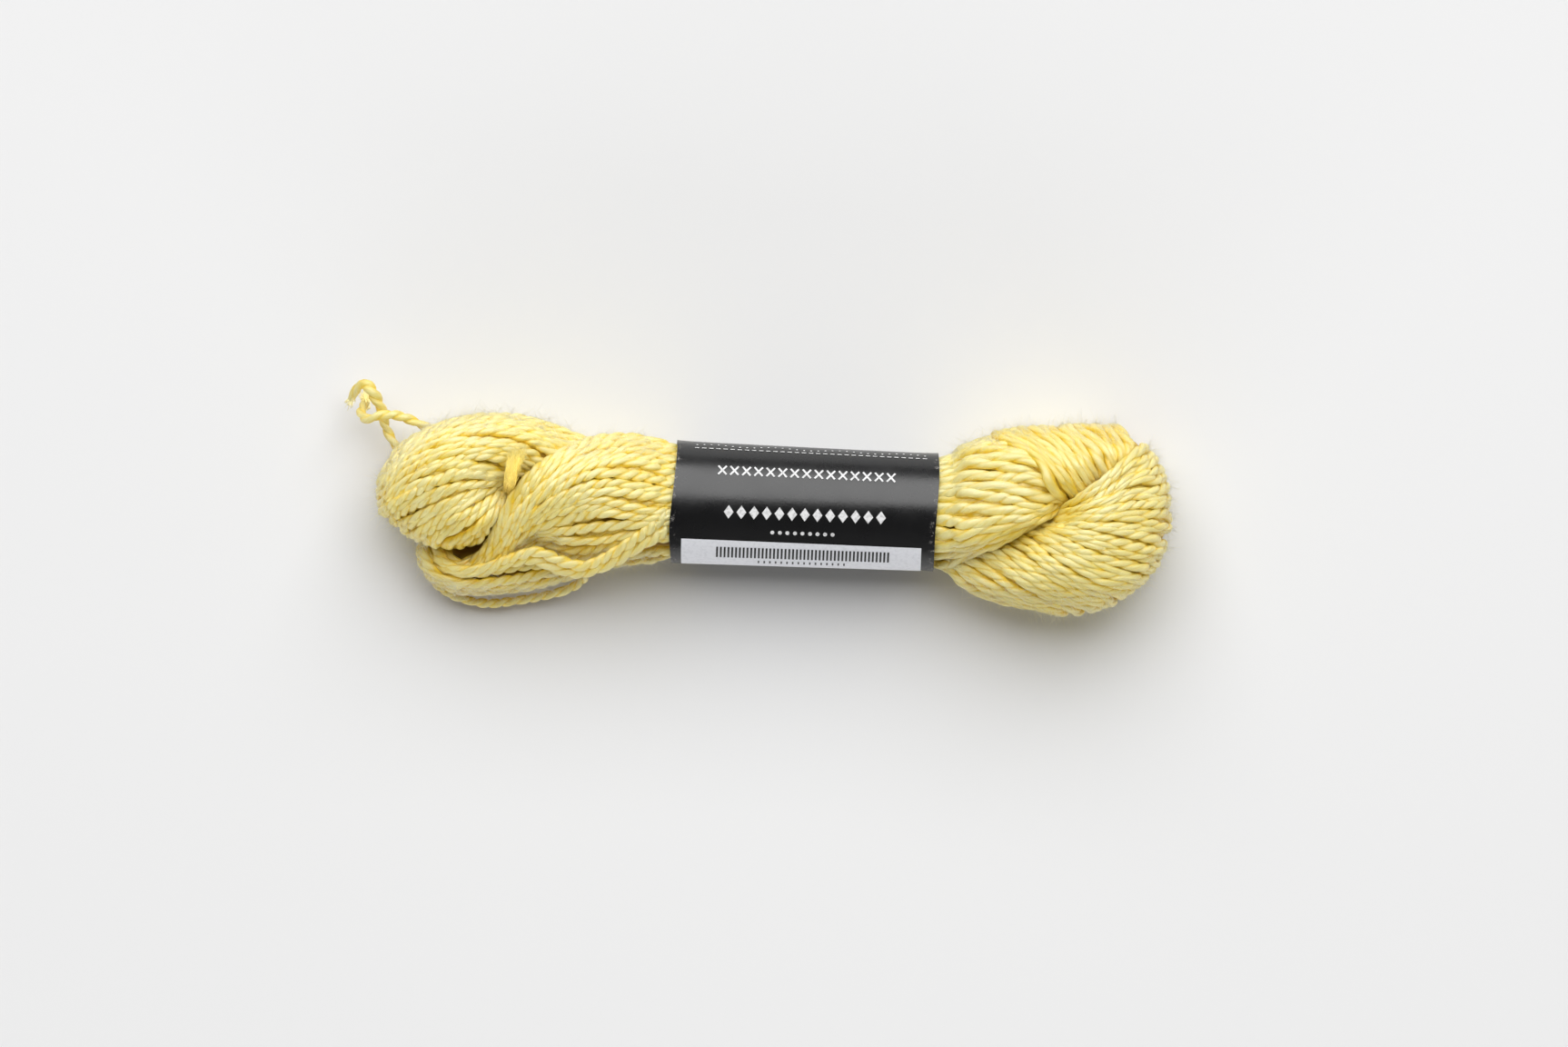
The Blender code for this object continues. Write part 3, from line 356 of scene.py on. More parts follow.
# Bands whose threads touch are one piece, so that light runs through them.
PIECES = {
    "threads_right_end": ("from_label", "over_top"),
    "threads_fold": ("fold",),
    "threads_left_end": ("sweep", "lower_loop", "loose_waves"),
    "threads_tucked": ("tucked_top", "tucked_low"),
    "threads_under": ("tucked_far", "under_right", "under_left"),
}

TIE_ROUTE = (  # free end, first leg, through the hank, second leg
    (-53.9, 14.6, 4.4), (-53.3, 15.7, 5.4), (-52.4, 16.4, 6.4), (-51.6, 16.2, 7.0), (-50.8, 15.0, 6.9),
    (-50.2, 13.9, 6.2), (-49.8, 12.7, 5.3), (-49.6, 11.4, 4.7), (-49.1, 10.2, 4.6), (-48.4, 9.0, 4.6),
    (-46.9, 7.2, 4.6), (-44.8, 5.9, 4.8), (-42.6, 6.2, 5.2), (-41.8, 8.2, 5.7), (-42.9, 10.2, 6.3),
    (-45.0, 11.4, 6.9), (-46.6, 12.1, 7.2), (-48.4, 12.6, 7.4), (-50.2, 12.5, 7.5), (-51.4, 12.1, 7.2),
    (-52.3, 12.3, 6.4), (-52.6, 13.2, 5.2), (-52.1, 14.2, 4.0),
)
TIE_EXIT = 9  # number of the route's point where the first leg goes into the hank
TIE_PITCH = 4.2
TIE_CREASE = 0.8  # share of the full crease
TIE_RADII = ((0.0, 0.03, 0.07, 0.16, 0.24, 0.97, 1.0),  # share of the way, and radius there
             (0.45, 0.62, 0.8, 0.8, 0.66, 0.66, 0.5))
CUT_END_ROUTE = (  # out of the tucked lobe's eye, along its top
    (-33.9, 3.0, 14.0), (-33.6, 3.8, 15.7), (-33.3, 5.1, 16.9), (-32.9, 6.7, 17.3), (-32.5, 8.5, 17.2),
)
CUT_END_RADII = (0.55, 0.6, 0.75, 0.95, 1.15)  # widening to the frayed top
CUT_END_WISPS = 48
WISP_FIBRES = 6


# --- curves ---
def unit(vectors):
    return vectors / np.maximum(np.linalg.norm(vectors, axis=-1, keepdims=True), 1e-9)


def blend(t, t0, t1, first, second):
    """The point at t on the straight way from `first` at t0 to `second` at t1."""
    return ((t1 - t) * first + (t - t0) * second) / (t1 - t0)


def resample(points, count):
    """`count` points at even steps along a centripetal Catmull-Rom curve through `points`."""
    p = np.asarray(points, dtype=float)
    knots = np.concatenate([[0.0], np.cumsum(np.sqrt(np.linalg.norm(np.diff(p, axis=0), axis=1)))])
    p = np.vstack([2 * p[0] - p[1], p, 2 * p[-1] - p[-2]])
    knots = np.concatenate([[2 * knots[0] - knots[1]], knots, [2 * knots[-1] - knots[-2]]])
    dense = []
    for i in range(1, len(p) - 2):
        t0, t1, t2, t3 = knots[i - 1:i + 3]
        t = np.linspace(t1, t2, 16, endpoint=False)[:, None]
        a1 = blend(t, t0, t1, p[i - 1], p[i])
        a2 = blend(t, t1, t2, p[i], p[i + 1])
        a3 = blend(t, t2, t3, p[i + 1], p[i + 2])
        dense.append(blend(t, t1, t2, blend(t, t0, t2, a1, a2), blend(t, t1, t3, a2, a3)))
    dense = np.vstack(dense + [p[-2][None]])
    return at_even_steps(dense, count)


def arc_length(line):
    return np.concatenate([[0.0], np.cumsum(np.linalg.norm(np.diff(line, axis=0), axis=1))])


def at_even_steps(line, count):
    length = arc_length(line)
    return interpolated(np.linspace(0.0, length[-1], count), length, line)


def interpolated(at, places, vectors):
    """np.interp for vectors: one row of `vectors` for each of `places`."""
    return np.stack([np.interp(at, places, vectors[:, axis]) for axis in range(3)], axis=1)


def draws(number):
    """The random numbers of one band or piece, the same each run."""
    return np.random.default_rng((SEED, number))


def wave(rng, count, turns):
    """A smooth random line of `count` values, mostly within -1 and 1, with about `turns` swings."""
    t = np.linspace(0.0, 1.0, count)
    total = np.zeros(count)
    for share in (0.6, 1.0, 1.7):
        total += np.sin(2 * np.pi * (share * turns * t + rng.random())) / share ** 0.5
    return total / 2.2


def frames_along(line):
    """Two directions across a line at each point, carried along it without turning."""
    flow = unit(np.gradient(line, axis=0))
    start = np.cross(flow[0], (0.0, 0.0, 1.0))
    if np.linalg.norm(start) < 0.1:
        start = np.cross(flow[0], (0.0, 1.0, 0.0))
    side = np.empty_like(line)
    side[0] = unit(start)
    for i in range(1, len(line)):
        side[i] = unit(side[i - 1] - (side[i - 1] @ flow[i]) * flow[i])
    return side, np.cross(flow, side)


def spokes_at(angle, side, lift):
    """Directions at `angle` (radians) from `side` towards `lift`, for each point of a line."""
    return np.cos(angle)[..., None] * side[:, None] + np.sin(angle)[..., None] * lift[:, None]


# --- threads of a band ---
Thread = namedtuple("Thread", "line radius spread outward pitch crease gold")


def roll_under(guide, middle):
    """Carry a guide that ends on the rim round it and back under the lobe."""
    brow, rim = np.array(guide[-2]), np.array(guide[-1])
    heading = unit((rim - brow)[:2])
    outward = unit(rim[:2] - np.array(middle[:2]))
    sideways = heading - (heading @ outward) * outward
    shoulder = np.append(brow[:2] + SHOULDER_OUT * (rim - brow)[:2],
                         rim[2] + SHOULDER_UP * (brow - rim)[2])
    under = [np.append(rim[:2] - step.inward * outward + step.sideways * sideways, step.height)
             for step in ROLL]
    return [*guide[:-1], shoulder, rim, *under]


def guide_lines(band):
    """The band's guides, each as STATIONS points, with one more guide beyond either side."""
    lines = []
    for guide in band.guides:
        if band.rolled_end == "start":
            guide = roll_under(guide[::-1], band.middle)[::-1]
        elif band.rolled_end == "end":
            guide = roll_under(guide, band.middle)
        lines.append(resample(guide, STATIONS))
    lines = np.array(lines)
    return np.concatenate([[2 * lines[0] - lines[1]], lines, [2 * lines[-1] - lines[-2]]])


def between_guides(lines, place):
    """The line that runs at `place` (one number for each station) across the guides."""
    first = np.clip(np.floor(place).astype(int), 0, len(lines) - 4)
    t = (place - first)[:, None]
    station = np.arange(STATIONS)
    p0, p1, p2, p3 = (lines[first + k, station] for k in range(4))
    return 0.5 * (2 * p1 + (p2 - p0) * t + (2 * p0 - 5 * p1 + 4 * p2 - p3) * t ** 2
                  + (3 * p1 - p0 - 3 * p2 + p3) * t ** 3)


def apart(lines, others):
    """How far two sets of lines lie from each other, measured square to the way they run."""
    flow = unit(np.gradient(lines + others, axis=-2))
    gap = others - lines
    return np.linalg.norm(gap - (gap * flow).sum(-1, keepdims=True) * flow, axis=-1)


def keep_under_paper(line):
    """Draw a line in where it passes through the label, and let it swell again beyond."""
    cos, sin = np.cos(LABEL_TURN), np.sin(LABEL_TURN)
    turn = np.array(((cos, -sin), (sin, cos)))
    flat = (line[:, :2] - LABEL_CENTRE[:2]) @ turn
    share = np.clip(flat[:, 0] / LABEL_LENGTH + 0.5, 0.0, 1.0)
    half_width = np.interp(share, (0.0, 1.0), LABEL_HALF_WIDTHS)
    up = line[:, 2] - LABEL_CENTRE[2]
    out = np.hypot(flat[:, 1] / half_width, up / LABEL_HALF_HEIGHT)
    beyond = np.abs(flat[:, 0]) - LABEL_LENGTH / 2
    limit = 1.0 - (PAPER + PAPER_CLEAR + THREAD_R) / LABEL_HALF_HEIGHT + np.interp(beyond, *SWELL)
    factor = np.where(out > limit, limit / np.maximum(out, 1e-6), 1.0)
    flat[:, 1] *= factor
    drawn = flat @ turn.T + LABEL_CENTRE[:2]
    return np.column_stack([drawn, LABEL_CENTRE[2] + up * factor])


def turn_taken(k):
    """A share from 0 to 1 for thread number k, spread evenly among its neighbours' shares."""
    share, step = 0.0, 0.5
    while k:
        share += step * (k % 2)
        k //= 2
        step /= 2
    return share


def ways_across(band, lines, rng, layer):
    """Where the middle of each thread of a band runs, and its sideways direction there."""
    steps = apart(lines[:-1], lines[1:]).mean(axis=1)
    reach = np.cumsum(np.concatenate([[-steps[0], steps[0]], steps[1:]]))
    pitch = reach[-2] / (band.threads - 1)
    t = np.linspace(0.0, 1.0, STATIONS)
    for number in range(band.threads - layer):
        drift = rng.choice(CROSSINGS) * np.interp(t, (0.25, 0.75), (-0.5, 0.5))
        wander = band.wander * wave(rng, STATIONS, 2.0) + 0.3 * band.wander * rng.standard_normal() + drift
        wanted = np.clip(number + 0.5 * layer + wander, -0.4, band.threads - 0.6) * pitch
        place = np.interp(wanted, reach, np.arange(len(lines)) - 1.0)
        sideways = between_guides(lines, place + 0.3) - between_guides(lines, place - 0.3)
        yield between_guides(lines, place), sideways


def lay_threads(band, rng, layer=0):
    """Threads side by side along a band, each a little off its neighbours' way.

    Where the band is too narrow for all of them, some go down under their neighbours.
    """
    middles, sides = zip(*ways_across(band, guide_lines(band), rng, layer))
    threads = []
    for number, line in enumerate(middles):
        beside = [middles[i] for i in (number - 1, number + 1) if 0 <= i < len(middles)]
        gap = np.mean([apart(line, other) for other in beside], axis=0)
        normal = np.cross(unit(np.gradient(line, axis=0)), unit(sides[number]))
        normal *= np.sign(((line - np.array(band.middle)) * normal).sum())
        crowd = turn_taken(number) * np.minimum(THREAD_PITCH / np.maximum(gap, 0.2), 4.0)
        depth = band.lift * wave(rng, STATIONS, 2.5) - LAYER_DEPTH * layer
        depth -= SINK * np.clip(crowd - 1.0, 0.0, 2.0)
        line = line + depth[:, None] * unit(normal)
        line[:, 2] = np.maximum(line[:, 2], FLOOR_CLEAR)
        size = THREAD_R * rng.uniform(*THREAD_SIZES)
        radius = size * np.clip(0.76 + 0.24 * gap / THREAD_PITCH, NARROWEST, 1.0)
        threads.append(Thread(keep_under_paper(line), radius, np.clip(0.58 * gap / radius, 1.0, WIDEST),
                              unit(normal), rng.uniform(*band.pitch), band.crease, band.gold))
    return threads


def shortened(thread, first, last):
    """The part of a thread between two of its stations."""
    keep = slice(first, last)
    return thread._replace(line=thread.line[keep], radius=thread.radius[keep],
                           spread=thread.spread[keep], outward=thread.outward[keep])


def single_thread(line, radius, outward, pitch, crease):
    """A thread that lies by itself: it isn't spread, and faces the same way all along."""
    count = len(line)
    return Thread(line, radius * np.ones(count), np.ones(count), np.tile(outward, (count, 1)),
                  pitch, crease, 0.0)


# --- meshes ---
def place_object(name, data):
    made = bpy.data.objects.new(name, data)
    bpy.context.scene.collection.objects.link(made)
    return made


def place_piece(name, mesh, material):
    mesh.materials.append(material)
    return place_object(name, mesh)


def quads(grid):
    """The faces between the rows and columns of a grid of point numbers."""
    corners = (grid[:-1, :-1], grid[1:, :-1], grid[1:, 1:], grid[:-1, 1:])
    return np.stack(corners, axis=-1).reshape(-1, 4).tolist()


class Tubes:
    """Gathers closed tubes, and turns them into one mesh."""

    def __init__(self):
        self.points = []
        self.quads = []
        self.ends = []
        self.uvs = []
        self.shades_and_tones = []
        self.total = 0

    def add(self, rings, along, shade_and_tone):
        """rings is (rings, sides, 3) in mm, along is mm from the start, and the painted shade with random
        tone is (rings, sides).
        """
        count, sides = rings.shape[:2]
        index = self.total + np.arange(count * sides).reshape(count, sides)
        following = np.roll(index, -1, axis=1)
        self.quads.append(np.stack([index[:-1], following[:-1], following[1:], index[1:]],
                                   axis=-1).reshape(-1, 4))
        self.ends += [index[0][::-1].tolist(), index[-1].tolist()]
        left, right = np.arange(sides) / sides, (np.arange(sides) + 1) / sides
        u0, u1 = (np.repeat(a[:, None], sides, axis=1) for a in (along[:-1], along[1:]))
        v0, v1 = (np.repeat(a[None], count - 1, axis=0) for a in (left, right))
        corners = [np.stack(c, axis=-1) for c in ((u0, v0), (u0, v1), (u1, v1), (u1, v0))]
        self.uvs.append(np.stack(corners, axis=2).reshape(-1, 2))
        self.points.append(rings.reshape(-1, 3))
        self.shades_and_tones.append(shade_and_tone.reshape(-1))
        self.total += count * sides

    def build(self, name, material):
        mesh = bpy.data.meshes.new(name)
        sides = np.concatenate(self.quads)
        points = np.concatenate(self.points) * MM
        mesh.from_pydata(points.tolist(), [], sides.tolist() + self.ends)
        uvs = np.zeros((len(mesh.loops), 2))
        uvs[:4 * len(sides)] = np.concatenate(self.uvs)
        mesh.uv_layers.new(name="thread").data.foreach_set("uv", uvs.ravel())
        # The shade attribute: painted shade gold for the creases and the gaps, with a random tone.
        tone_and_shade = mesh.attributes.new("shade_and_tone", "FLOAT", "POINT")
        tone_and_shade.data.foreach_set("value", np.concatenate(self.shades_and_tones))
        mesh.shade_smooth()
        return place_piece(name, mesh, material)


def in_creases(line):
    """How close a line runs to the hank's deep creases, seen from above: from 0 to 1."""
    nearest = np.full(len(line), np.inf)
    for start, end in np.array(DEEP_CREASES):
        way = end - start
        share = np.clip((line[:, :2] - start) @ way / (way @ way), 0.0, 1.0)
        nearest = np.minimum(nearest, np.linalg.norm(line[:, :2] - start - share[:, None] * way, axis=1))
    return np.exp(-(nearest / CREASE_REACH) ** 2)


def add_twisted(tubes, thread, rng, corners=PLY_CORNERS, step=RING_STEP, below=0.0):
    """Build one two-ply thread: two lobes that wind round each other.

    Its shade attribute carries painted shade: gold in the creases and on the flanks that face in, where shade
    falls, `below` more, and a random tone.
    """
    length = arc_length(thread.line)
    whole = length[-1]
    count = max(6, int(whole / step))
    line = at_even_steps(thread.line, count)
    along = np.linspace(0.0, whole, count)
    outward = interpolated(along, length, thread.outward)
    turn = -2 * np.pi * (along / thread.pitch + rng.random()) + 0.9 * wave(rng, count, whole / 11.0)
    radius = np.interp(along, length, thread.radius) * (1.0 + 0.05 * wave(rng, count, whole / 5.0))

    corner = np.radians(np.concatenate([corners, np.add(corners, 180)]))
    from_crease = np.abs(np.concatenate([corners, corners]) - 90)
    lobe = (1.0 - PLY_FLATNESS * np.sin(corner) ** 2
            - thread.crease * CREASE_DEPTH * np.exp(-(from_crease / CREASE_WIDTH) ** 2))
    spokes = spokes_at(turn[:, None] + corner[None], *frames_along(line))
    reach = (radius[:, None] * lobe[None])[..., None] * spokes
    across = unit(np.cross(np.gradient(line, axis=0), outward))[:, None]
    widening = np.interp(along, length, thread.spread)[:, None, None] - 1.0
    reach = reach + widening * (reach * across).sum(-1, keepdims=True) * across

    # Painted shade: gold along each crease and on the flanks that face in, where shade falls.
    facing = (spokes * outward[:, None]).sum(-1)
    crease_shade = (0.90 + 0.15 * wave(rng, count, 1.5 * whole / thread.pitch)) * thread.crease
    gold = (crease_shade[:, None] * np.exp(-(from_crease / CREASE_SHADE_WIDTH) ** 2)[None]
            + np.interp(facing, *FLANK_SHADE_GOLD))
    # A random tone for each ply, and painted shade near the hank's deep creases.
    tone_and_shade = [0.10 * rng.standard_normal() + 0.14 * wave(rng, count, 1.2 * whole / thread.pitch)
            for _ in range(2)]
    tone_and_shade = np.repeat(np.array(tone_and_shade).T, len(corners), axis=1) + 0.5 * in_creases(line)[:, None]
    tubes.add(line[:, None] + reach, along + STREAK_SHIFT * rng.random(),
              np.clip(below + thread.gold + np.clip(gold, 0.0, 1.0) + tone_and_shade, 0.0, 1.3))


def add_fibre(tubes, line, thick, taper=0.3, sides=3, gold=0.0):
    """Build one fibre, a thin tube that thins towards its end; its gold, painted shade with a random tone, is
    one number or one a point.
    """
    count = len(line)
    radius = thick / 2 * np.linspace(1.0, taper, count)
    spokes = spokes_at(2 * np.pi * np.arange(sides) / sides, *frames_along(line))
    tubes.add(line[:, None] + radius[:, None, None] * spokes, arc_length(line),
              (gold * np.ones((sides, count))).T)


# --- materials ---
def fill(tree, made, **values):
    """Set a node's own settings and its sockets, each socket to a value or to another's output."""
    for key, value in values.items():
        if hasattr(made, key):
            setattr(made, key, value)
        else:
            put(tree, made.inputs[key.replace("_", " ")], value)
    return made


def put(tree, socket, value):
    if isinstance(value, bpy.types.NodeSocket):
        tree.links.new(value, socket)
    else:
        socket.default_value = value


def node(tree, kind, **values):
    return fill(tree, tree.nodes.new("ShaderNode" + kind), **values)


def new_material(name):
    material = bpy.data.materials.new(name)
    material.use_nodes = True
    tree = material.node_tree
    return material, tree, tree.nodes["Principled BSDF"]


def place_on_object(tree):
    return node(tree, "TexCoord").outputs["Object"]


def stretched(tree, place, scale):
    return node(tree, "Mapping", Vector=place, Scale=scale).outputs["Vector"]


def noise(tree, place, scale, detail, roughness=0.5):
    made = node(tree, "TexNoise", Vector=place, Scale=scale, Detail=detail, Roughness=roughness)
    return made.outputs["Fac"]


def attribute(tree, name):
    return node(tree, "Attribute", attribute_name=name).outputs["Fac"]


def spread(tree, value, low, high):
    """A value run through a ramp that goes from `low` (the value, the ramp's result) to `high`."""
    return node(tree, "MapRange", Value=value, From_Min=low[0], To_Min=low[1],
                From_Max=high[0], To_Max=high[1]).outputs["Result"]


def mix_colour(tree, factor, first, second):
    made = node(tree, "Mix", data_type="RGBA")
    for number, value in ((0, factor), (6, first), (7, second)):
        put(tree, made.inputs[number], (*value, 1.0) if isinstance(value, tuple) else value)
    return made.outputs[2]


def bumped(tree, height, strength, distance):
    """The surface's direction, raised by `height` (0 to 1), at most by `distance` in metres."""
    return node(tree, "Bump", Height=height, Strength=strength, Distance=distance).outputs["Normal"]


def silk_material(name, streak_height=0.0):
    """Silk: fine streaks along the plies, painted shade as deeper gold in the grooves and gaps, a sheen
    across the fibres.
    """
    crest, pale, shade_colour = SILKS[name]
    material, tree, shader = new_material(name)
    along_plies = node(tree, "UVMap", uv_map="thread").outputs["UV"]
    streak = noise(tree, stretched(tree, along_plies, (0.5, 13.0, 1.0)), 1.8, 4.0, 0.66)
    patch = noise(tree, place_on_object(tree), 160.0, 2.0)
    colour = mix_colour(tree, spread(tree, patch, (0.38, 0.0), (0.66, 1.0)), crest, pale)
    # Painted shade: the shade attribute mixes the deep gold in, and the streaks raise or lower it a little.
    shade_share = node(tree, "Math", operation="MULTIPLY_ADD", use_clamp=True)
    put(tree, shade_share.inputs[0], attribute(tree, "shade_and_tone"))
    put(tree, shade_share.inputs[1], 0.85)
    put(tree, shade_share.inputs[2], spread(tree, streak, (0.32, 0.34), (0.62, -0.10)))
    colour = mix_colour(tree, shade_share.outputs[0], colour, shade_colour)
    gloss = spread(tree, streak, (0.3, 0.45), (0.7, 0.29))
    fill(tree, shader, Base_Color=colour, Roughness=gloss, IOR=1.7, Specular_IOR_Level=0.85,
         Sheen_Weight=0.10, Sheen_Roughness=0.5, Sheen_Tint=(1.0, 0.93, 0.65, 1.0),
         subsurface_method="BURLEY", Subsurface_Weight=0.5, Subsurface_Radius=(1.0, 0.9, 0.6),
         Subsurface_Scale=0.0025)
    if streak_height:
        along = node(tree, "Tangent", direction_type="UV_MAP", uv_map="thread").outputs["Tangent"]
        fill(tree, shader, Tangent=along, Anisotropic=0.75, Anisotropic_Rotation=0.25,
             Normal=bumped(tree, streak, 0.8, streak_height))
    return material


def core_shade_material():
    """The threads that lie below the outer ones: a darker gold than the silk, painted shade for the gaps
    between threads, with a fine cross-lay.
    """
    material, tree, shader = new_material("silk_below_painted_shade")
    strand = noise(tree, stretched(tree, place_on_object(tree), (180.0, 700.0, 700.0)), 1.0, 3.0)
    colour = mix_colour(tree, spread(tree, strand, (0.35, 0.0), (0.65, 1.0)),
                        (0.42, 0.24, 0.02), (0.66, 0.43, 0.05))
    fill(tree, shader, Base_Color=colour, Roughness=0.6, Normal=bumped(tree, strand, 0.8, 0.0003))
    return material


def paper_material():
    """Black coated paper: satin, faintly fibrous, worn pale along its cut edges."""
    material, tree, shader = new_material("black_paper")
    place = place_on_object(tree)
    grain = noise(tree, place, 3200.0, 3.0, 0.7)
    cloud = noise(tree, place, 260.0, 3.0)
    fleck = noise(tree, place, 1500.0, 4.0, 0.8)
    worn = node(tree, "Math", operation="MULTIPLY")
    put(tree, worn.inputs[0], attribute(tree, "wear"))
    put(tree, worn.inputs[1], spread(tree, fleck, (0.56, 0.0), (0.64, 1.0)))
    black = mix_colour(tree, cloud, (0.003, 0.003, 0.0033), (0.007, 0.007, 0.0075))
    fill(tree, shader, Base_Color=mix_colour(tree, worn.outputs[0], black, (0.42, 0.40, 0.37)),
         Roughness=spread(tree, cloud, (0.3, 0.24), (0.7, 0.32)), Specular_IOR_Level=0.7,
         Normal=bumped(tree, grain, 0.35, 0.00003))
    return material


def ink_material(name, colour, thin, roughness):
    """Printed ink or sticker paper, slightly uneven, so that some of the ground shows."""
    material, tree, shader = new_material(name)
    patchy = noise(tree, place_on_object(tree), 2400.0, 2.0)
    uneven = mix_colour(tree, spread(tree, patchy, (0.3, 1.0), (0.55, 0.0)), colour, thin)
    fill(tree, shader, Base_Color=uneven, Roughness=roughness, Normal=bumped(tree, patchy, 0.2, 0.00002))
    return material


# --- label ---
def label_point(along, angle, grow):
    """A point (mm) on the label: `along` from its middle, `angle` from its far side over its top."""
    share = along / LABEL_LENGTH + 0.5
    half_width = np.interp(share, (0.0, 1.0), LABEL_HALF_WIDTHS) + grow
    y = half_width * np.cos(angle)
    z = (LABEL_HALF_HEIGHT + grow) * np.sin(angle)
    x = along * np.ones_like(y)
    return np.stack([LABEL_CENTRE[0] + x * np.cos(LABEL_TURN) - y * np.sin(LABEL_TURN),
                     LABEL_CENTRE[1] + x * np.sin(LABEL_TURN) + y * np.cos(LABEL_TURN),
                     LABEL_CENTRE[2] + z], axis=-1)


def angle_at(round_top):
    """The label's angle `round_top` mm along its curve, from the top line to the viewer's side."""
    return np.pi / 2 + round_top / LABEL_CURVE_R


def make_label(rng):
    """The paper band: one strip, wound once round the hank, its end glued over its start."""
    angles = np.linspace(SEAM_ANGLE, SEAM_ANGLE + 2 * np.pi + SEAM_OVERLAP, LABEL_COLUMNS)
    over = np.clip((angles - angles[-1] + SEAM_OVERLAP + SEAM_RAMP) / SEAM_RAMP, 0.0, 1.0)
    left_edge = 0.16 * wave(rng, LABEL_COLUMNS, 2.0) + 0.22 * np.exp(-((angles - np.radians(118)) / 0.5) ** 2)
    right_edge = 0.12 * wave(rng, LABEL_COLUMNS, 2.5)
    dents = 0.05 * wave(rng, LABEL_COLUMNS, 5.0)
    share = np.linspace(0.0, 1.0, LABEL_ROWS)[:, None]
    along = (share - 0.5) * LABEL_LENGTH - (1 - share) ** 3 * left_edge + share ** 3 * right_edge
    lip = 0.10 * np.abs(2 * share - 1) ** 8
    outer = label_point(along, angles, SEAM_LIFT * over + dents * share + lip)
    axis = unit(label_point(1.0, 0.0, 0.0) - label_point(0.0, 0.0, 0.0))
    away = outer - LABEL_CENTRE
    away = unit(away - (away @ axis)[..., None] * axis)
    points = np.concatenate([outer.reshape(-1, 3), (outer - PAPER * away).reshape(-1, 3)]) * MM

    top, below = np.arange(len(points)).reshape(2, LABEL_ROWS, LABEL_COLUMNS)
    faces = quads(top) + [face[::-1] for face in quads(below)]
    edges = ((below[0], top[0]), (top[-1], below[-1]), (top[:, 0], below[:, 0]), (below[:, -1], top[:, -1]))
    for edge in edges:
        faces += quads(np.array(edge))
    mesh = bpy.data.meshes.new("label_paper_band")
    mesh.from_pydata(points.tolist(), [], faces)
    wear = np.repeat(np.abs(np.linspace(-1.0, 1.0, LABEL_ROWS)) ** 60, LABEL_COLUMNS)
    mesh.attributes.new("wear", "FLOAT", "POINT").data.foreach_set("value", np.tile(wear, 2))
    mesh.shade_smooth()
    mesh.set_sharp_from_angle(angle=np.radians(50))
    return place_piece("label_paper_band", mesh, paper_material())


class Print:
    """Gathers thin patches that lie on the label's outer face, and turns them into one mesh."""

    def __init__(self, lift):
        self.lift = lift
        self.points = []
        self.faces = []

    def patch(self, corners):
        """A patch from its corners, each (mm along the label, mm round it from its top line)."""
        c0, c1, c2, c3 = corners = np.array(corners)
        wide, high = np.ptp(corners, axis=0)
        rows, columns = int(high / 0.35) + 2, max(1, int(wide / 2.0)) + 1
        first = len(self.points)
        for b in np.linspace(0.0, 1.0, rows):
            for a in np.linspace(0.0, 1.0, columns):
                u, v = (1 - b) * ((1 - a) * c0 + a * c1) + b * ((1 - a) * c3 + a * c2)
                self.points.append(label_point(u, angle_at(v), self.lift))
        self.faces += quads(first + np.arange(rows * columns).reshape(rows, columns))

    def stroke(self, start, end, width):
        """A straight stroke of ink from `start` to `end`."""
        start, end = np.array(start), np.array(end)
        along = unit(end - start)
        across = np.array((-along[1], along[0])) * width / 2
        self.patch((start - across, end - across, end + across, start + across))

    def disc(self, centre, radius, sides=10):
        first = len(self.points)
        for a in 2 * np.pi * np.arange(sides) / sides:
            at = angle_at(centre[1] + radius * np.sin(a))
            self.points.append(label_point(centre[0] + radius * np.cos(a), at, self.lift))
        self.faces.append(tuple(range(first, first + sides)))

    def build(self, name, material):
        mesh = bpy.data.meshes.new(name)
        mesh.from_pydata((np.array(self.points) * MM).tolist(), [], self.faces)
        mesh.shade_smooth()
        return place_piece(name, mesh, material)


def places(row):
    """Each mark's place in a row: along the label, and round it."""
    return [(row.start + row.step * k, row.round) for k in range(row.count)]


def make_print():
    """A generic needlework design in the places where such a band is printed."""
    ink = Print(INK_LIFT)
    for k, (u, v) in enumerate(places(STITCHES)):  # a running stitch, and dots that swing
        ink.stroke((u, v), (u + 0.55, v), 0.16)
        ink.disc((u + 0.28, v - 0.9 - 0.25 * np.sin(0.7 * k)), 0.13)
    for u, v in places(CROSSES):
        for rise in (0.6, -0.6):
            ink.stroke((u - 0.52, v - rise), (u + 0.52, v + rise), 0.24)
    for u, v in places(DIAMONDS):
        ink.patch(((u - 0.62, v), (u, v - 0.8), (u + 0.62, v), (u, v + 0.8)))
    for place in places(DOTS):
        ink.disc(place, 0.26)
    panel = Print(PANEL_LIFT)
    panel.patch(PANEL)
    bars = Print(BARS_LIFT)
    for u, v in places(BARS):  # even bars, which stand for nothing
        bars.patch(((u, v - 1.0), (u + 0.24, v - 1.0), (u + 0.24, v + 1.0), (u, v + 1.0)))
    for u, v in places(TICKS):
        bars.stroke((u, v - 0.375), (u, v + 0.375), 0.2)
    white = ink_material("white_ink", (0.84, 0.84, 0.84), (0.55, 0.55, 0.55), 0.45)
    pale = ink_material("panel_paper", (0.84, 0.85, 0.89), (0.76, 0.77, 0.81), 0.5)
    black = ink_material("black_ink", (0.012, 0.012, 0.013), (0.03, 0.03, 0.03), 0.4)
    return (ink.build("label_ink", white), panel.build("label_panel", pale),
            bars.build("label_bars", black))


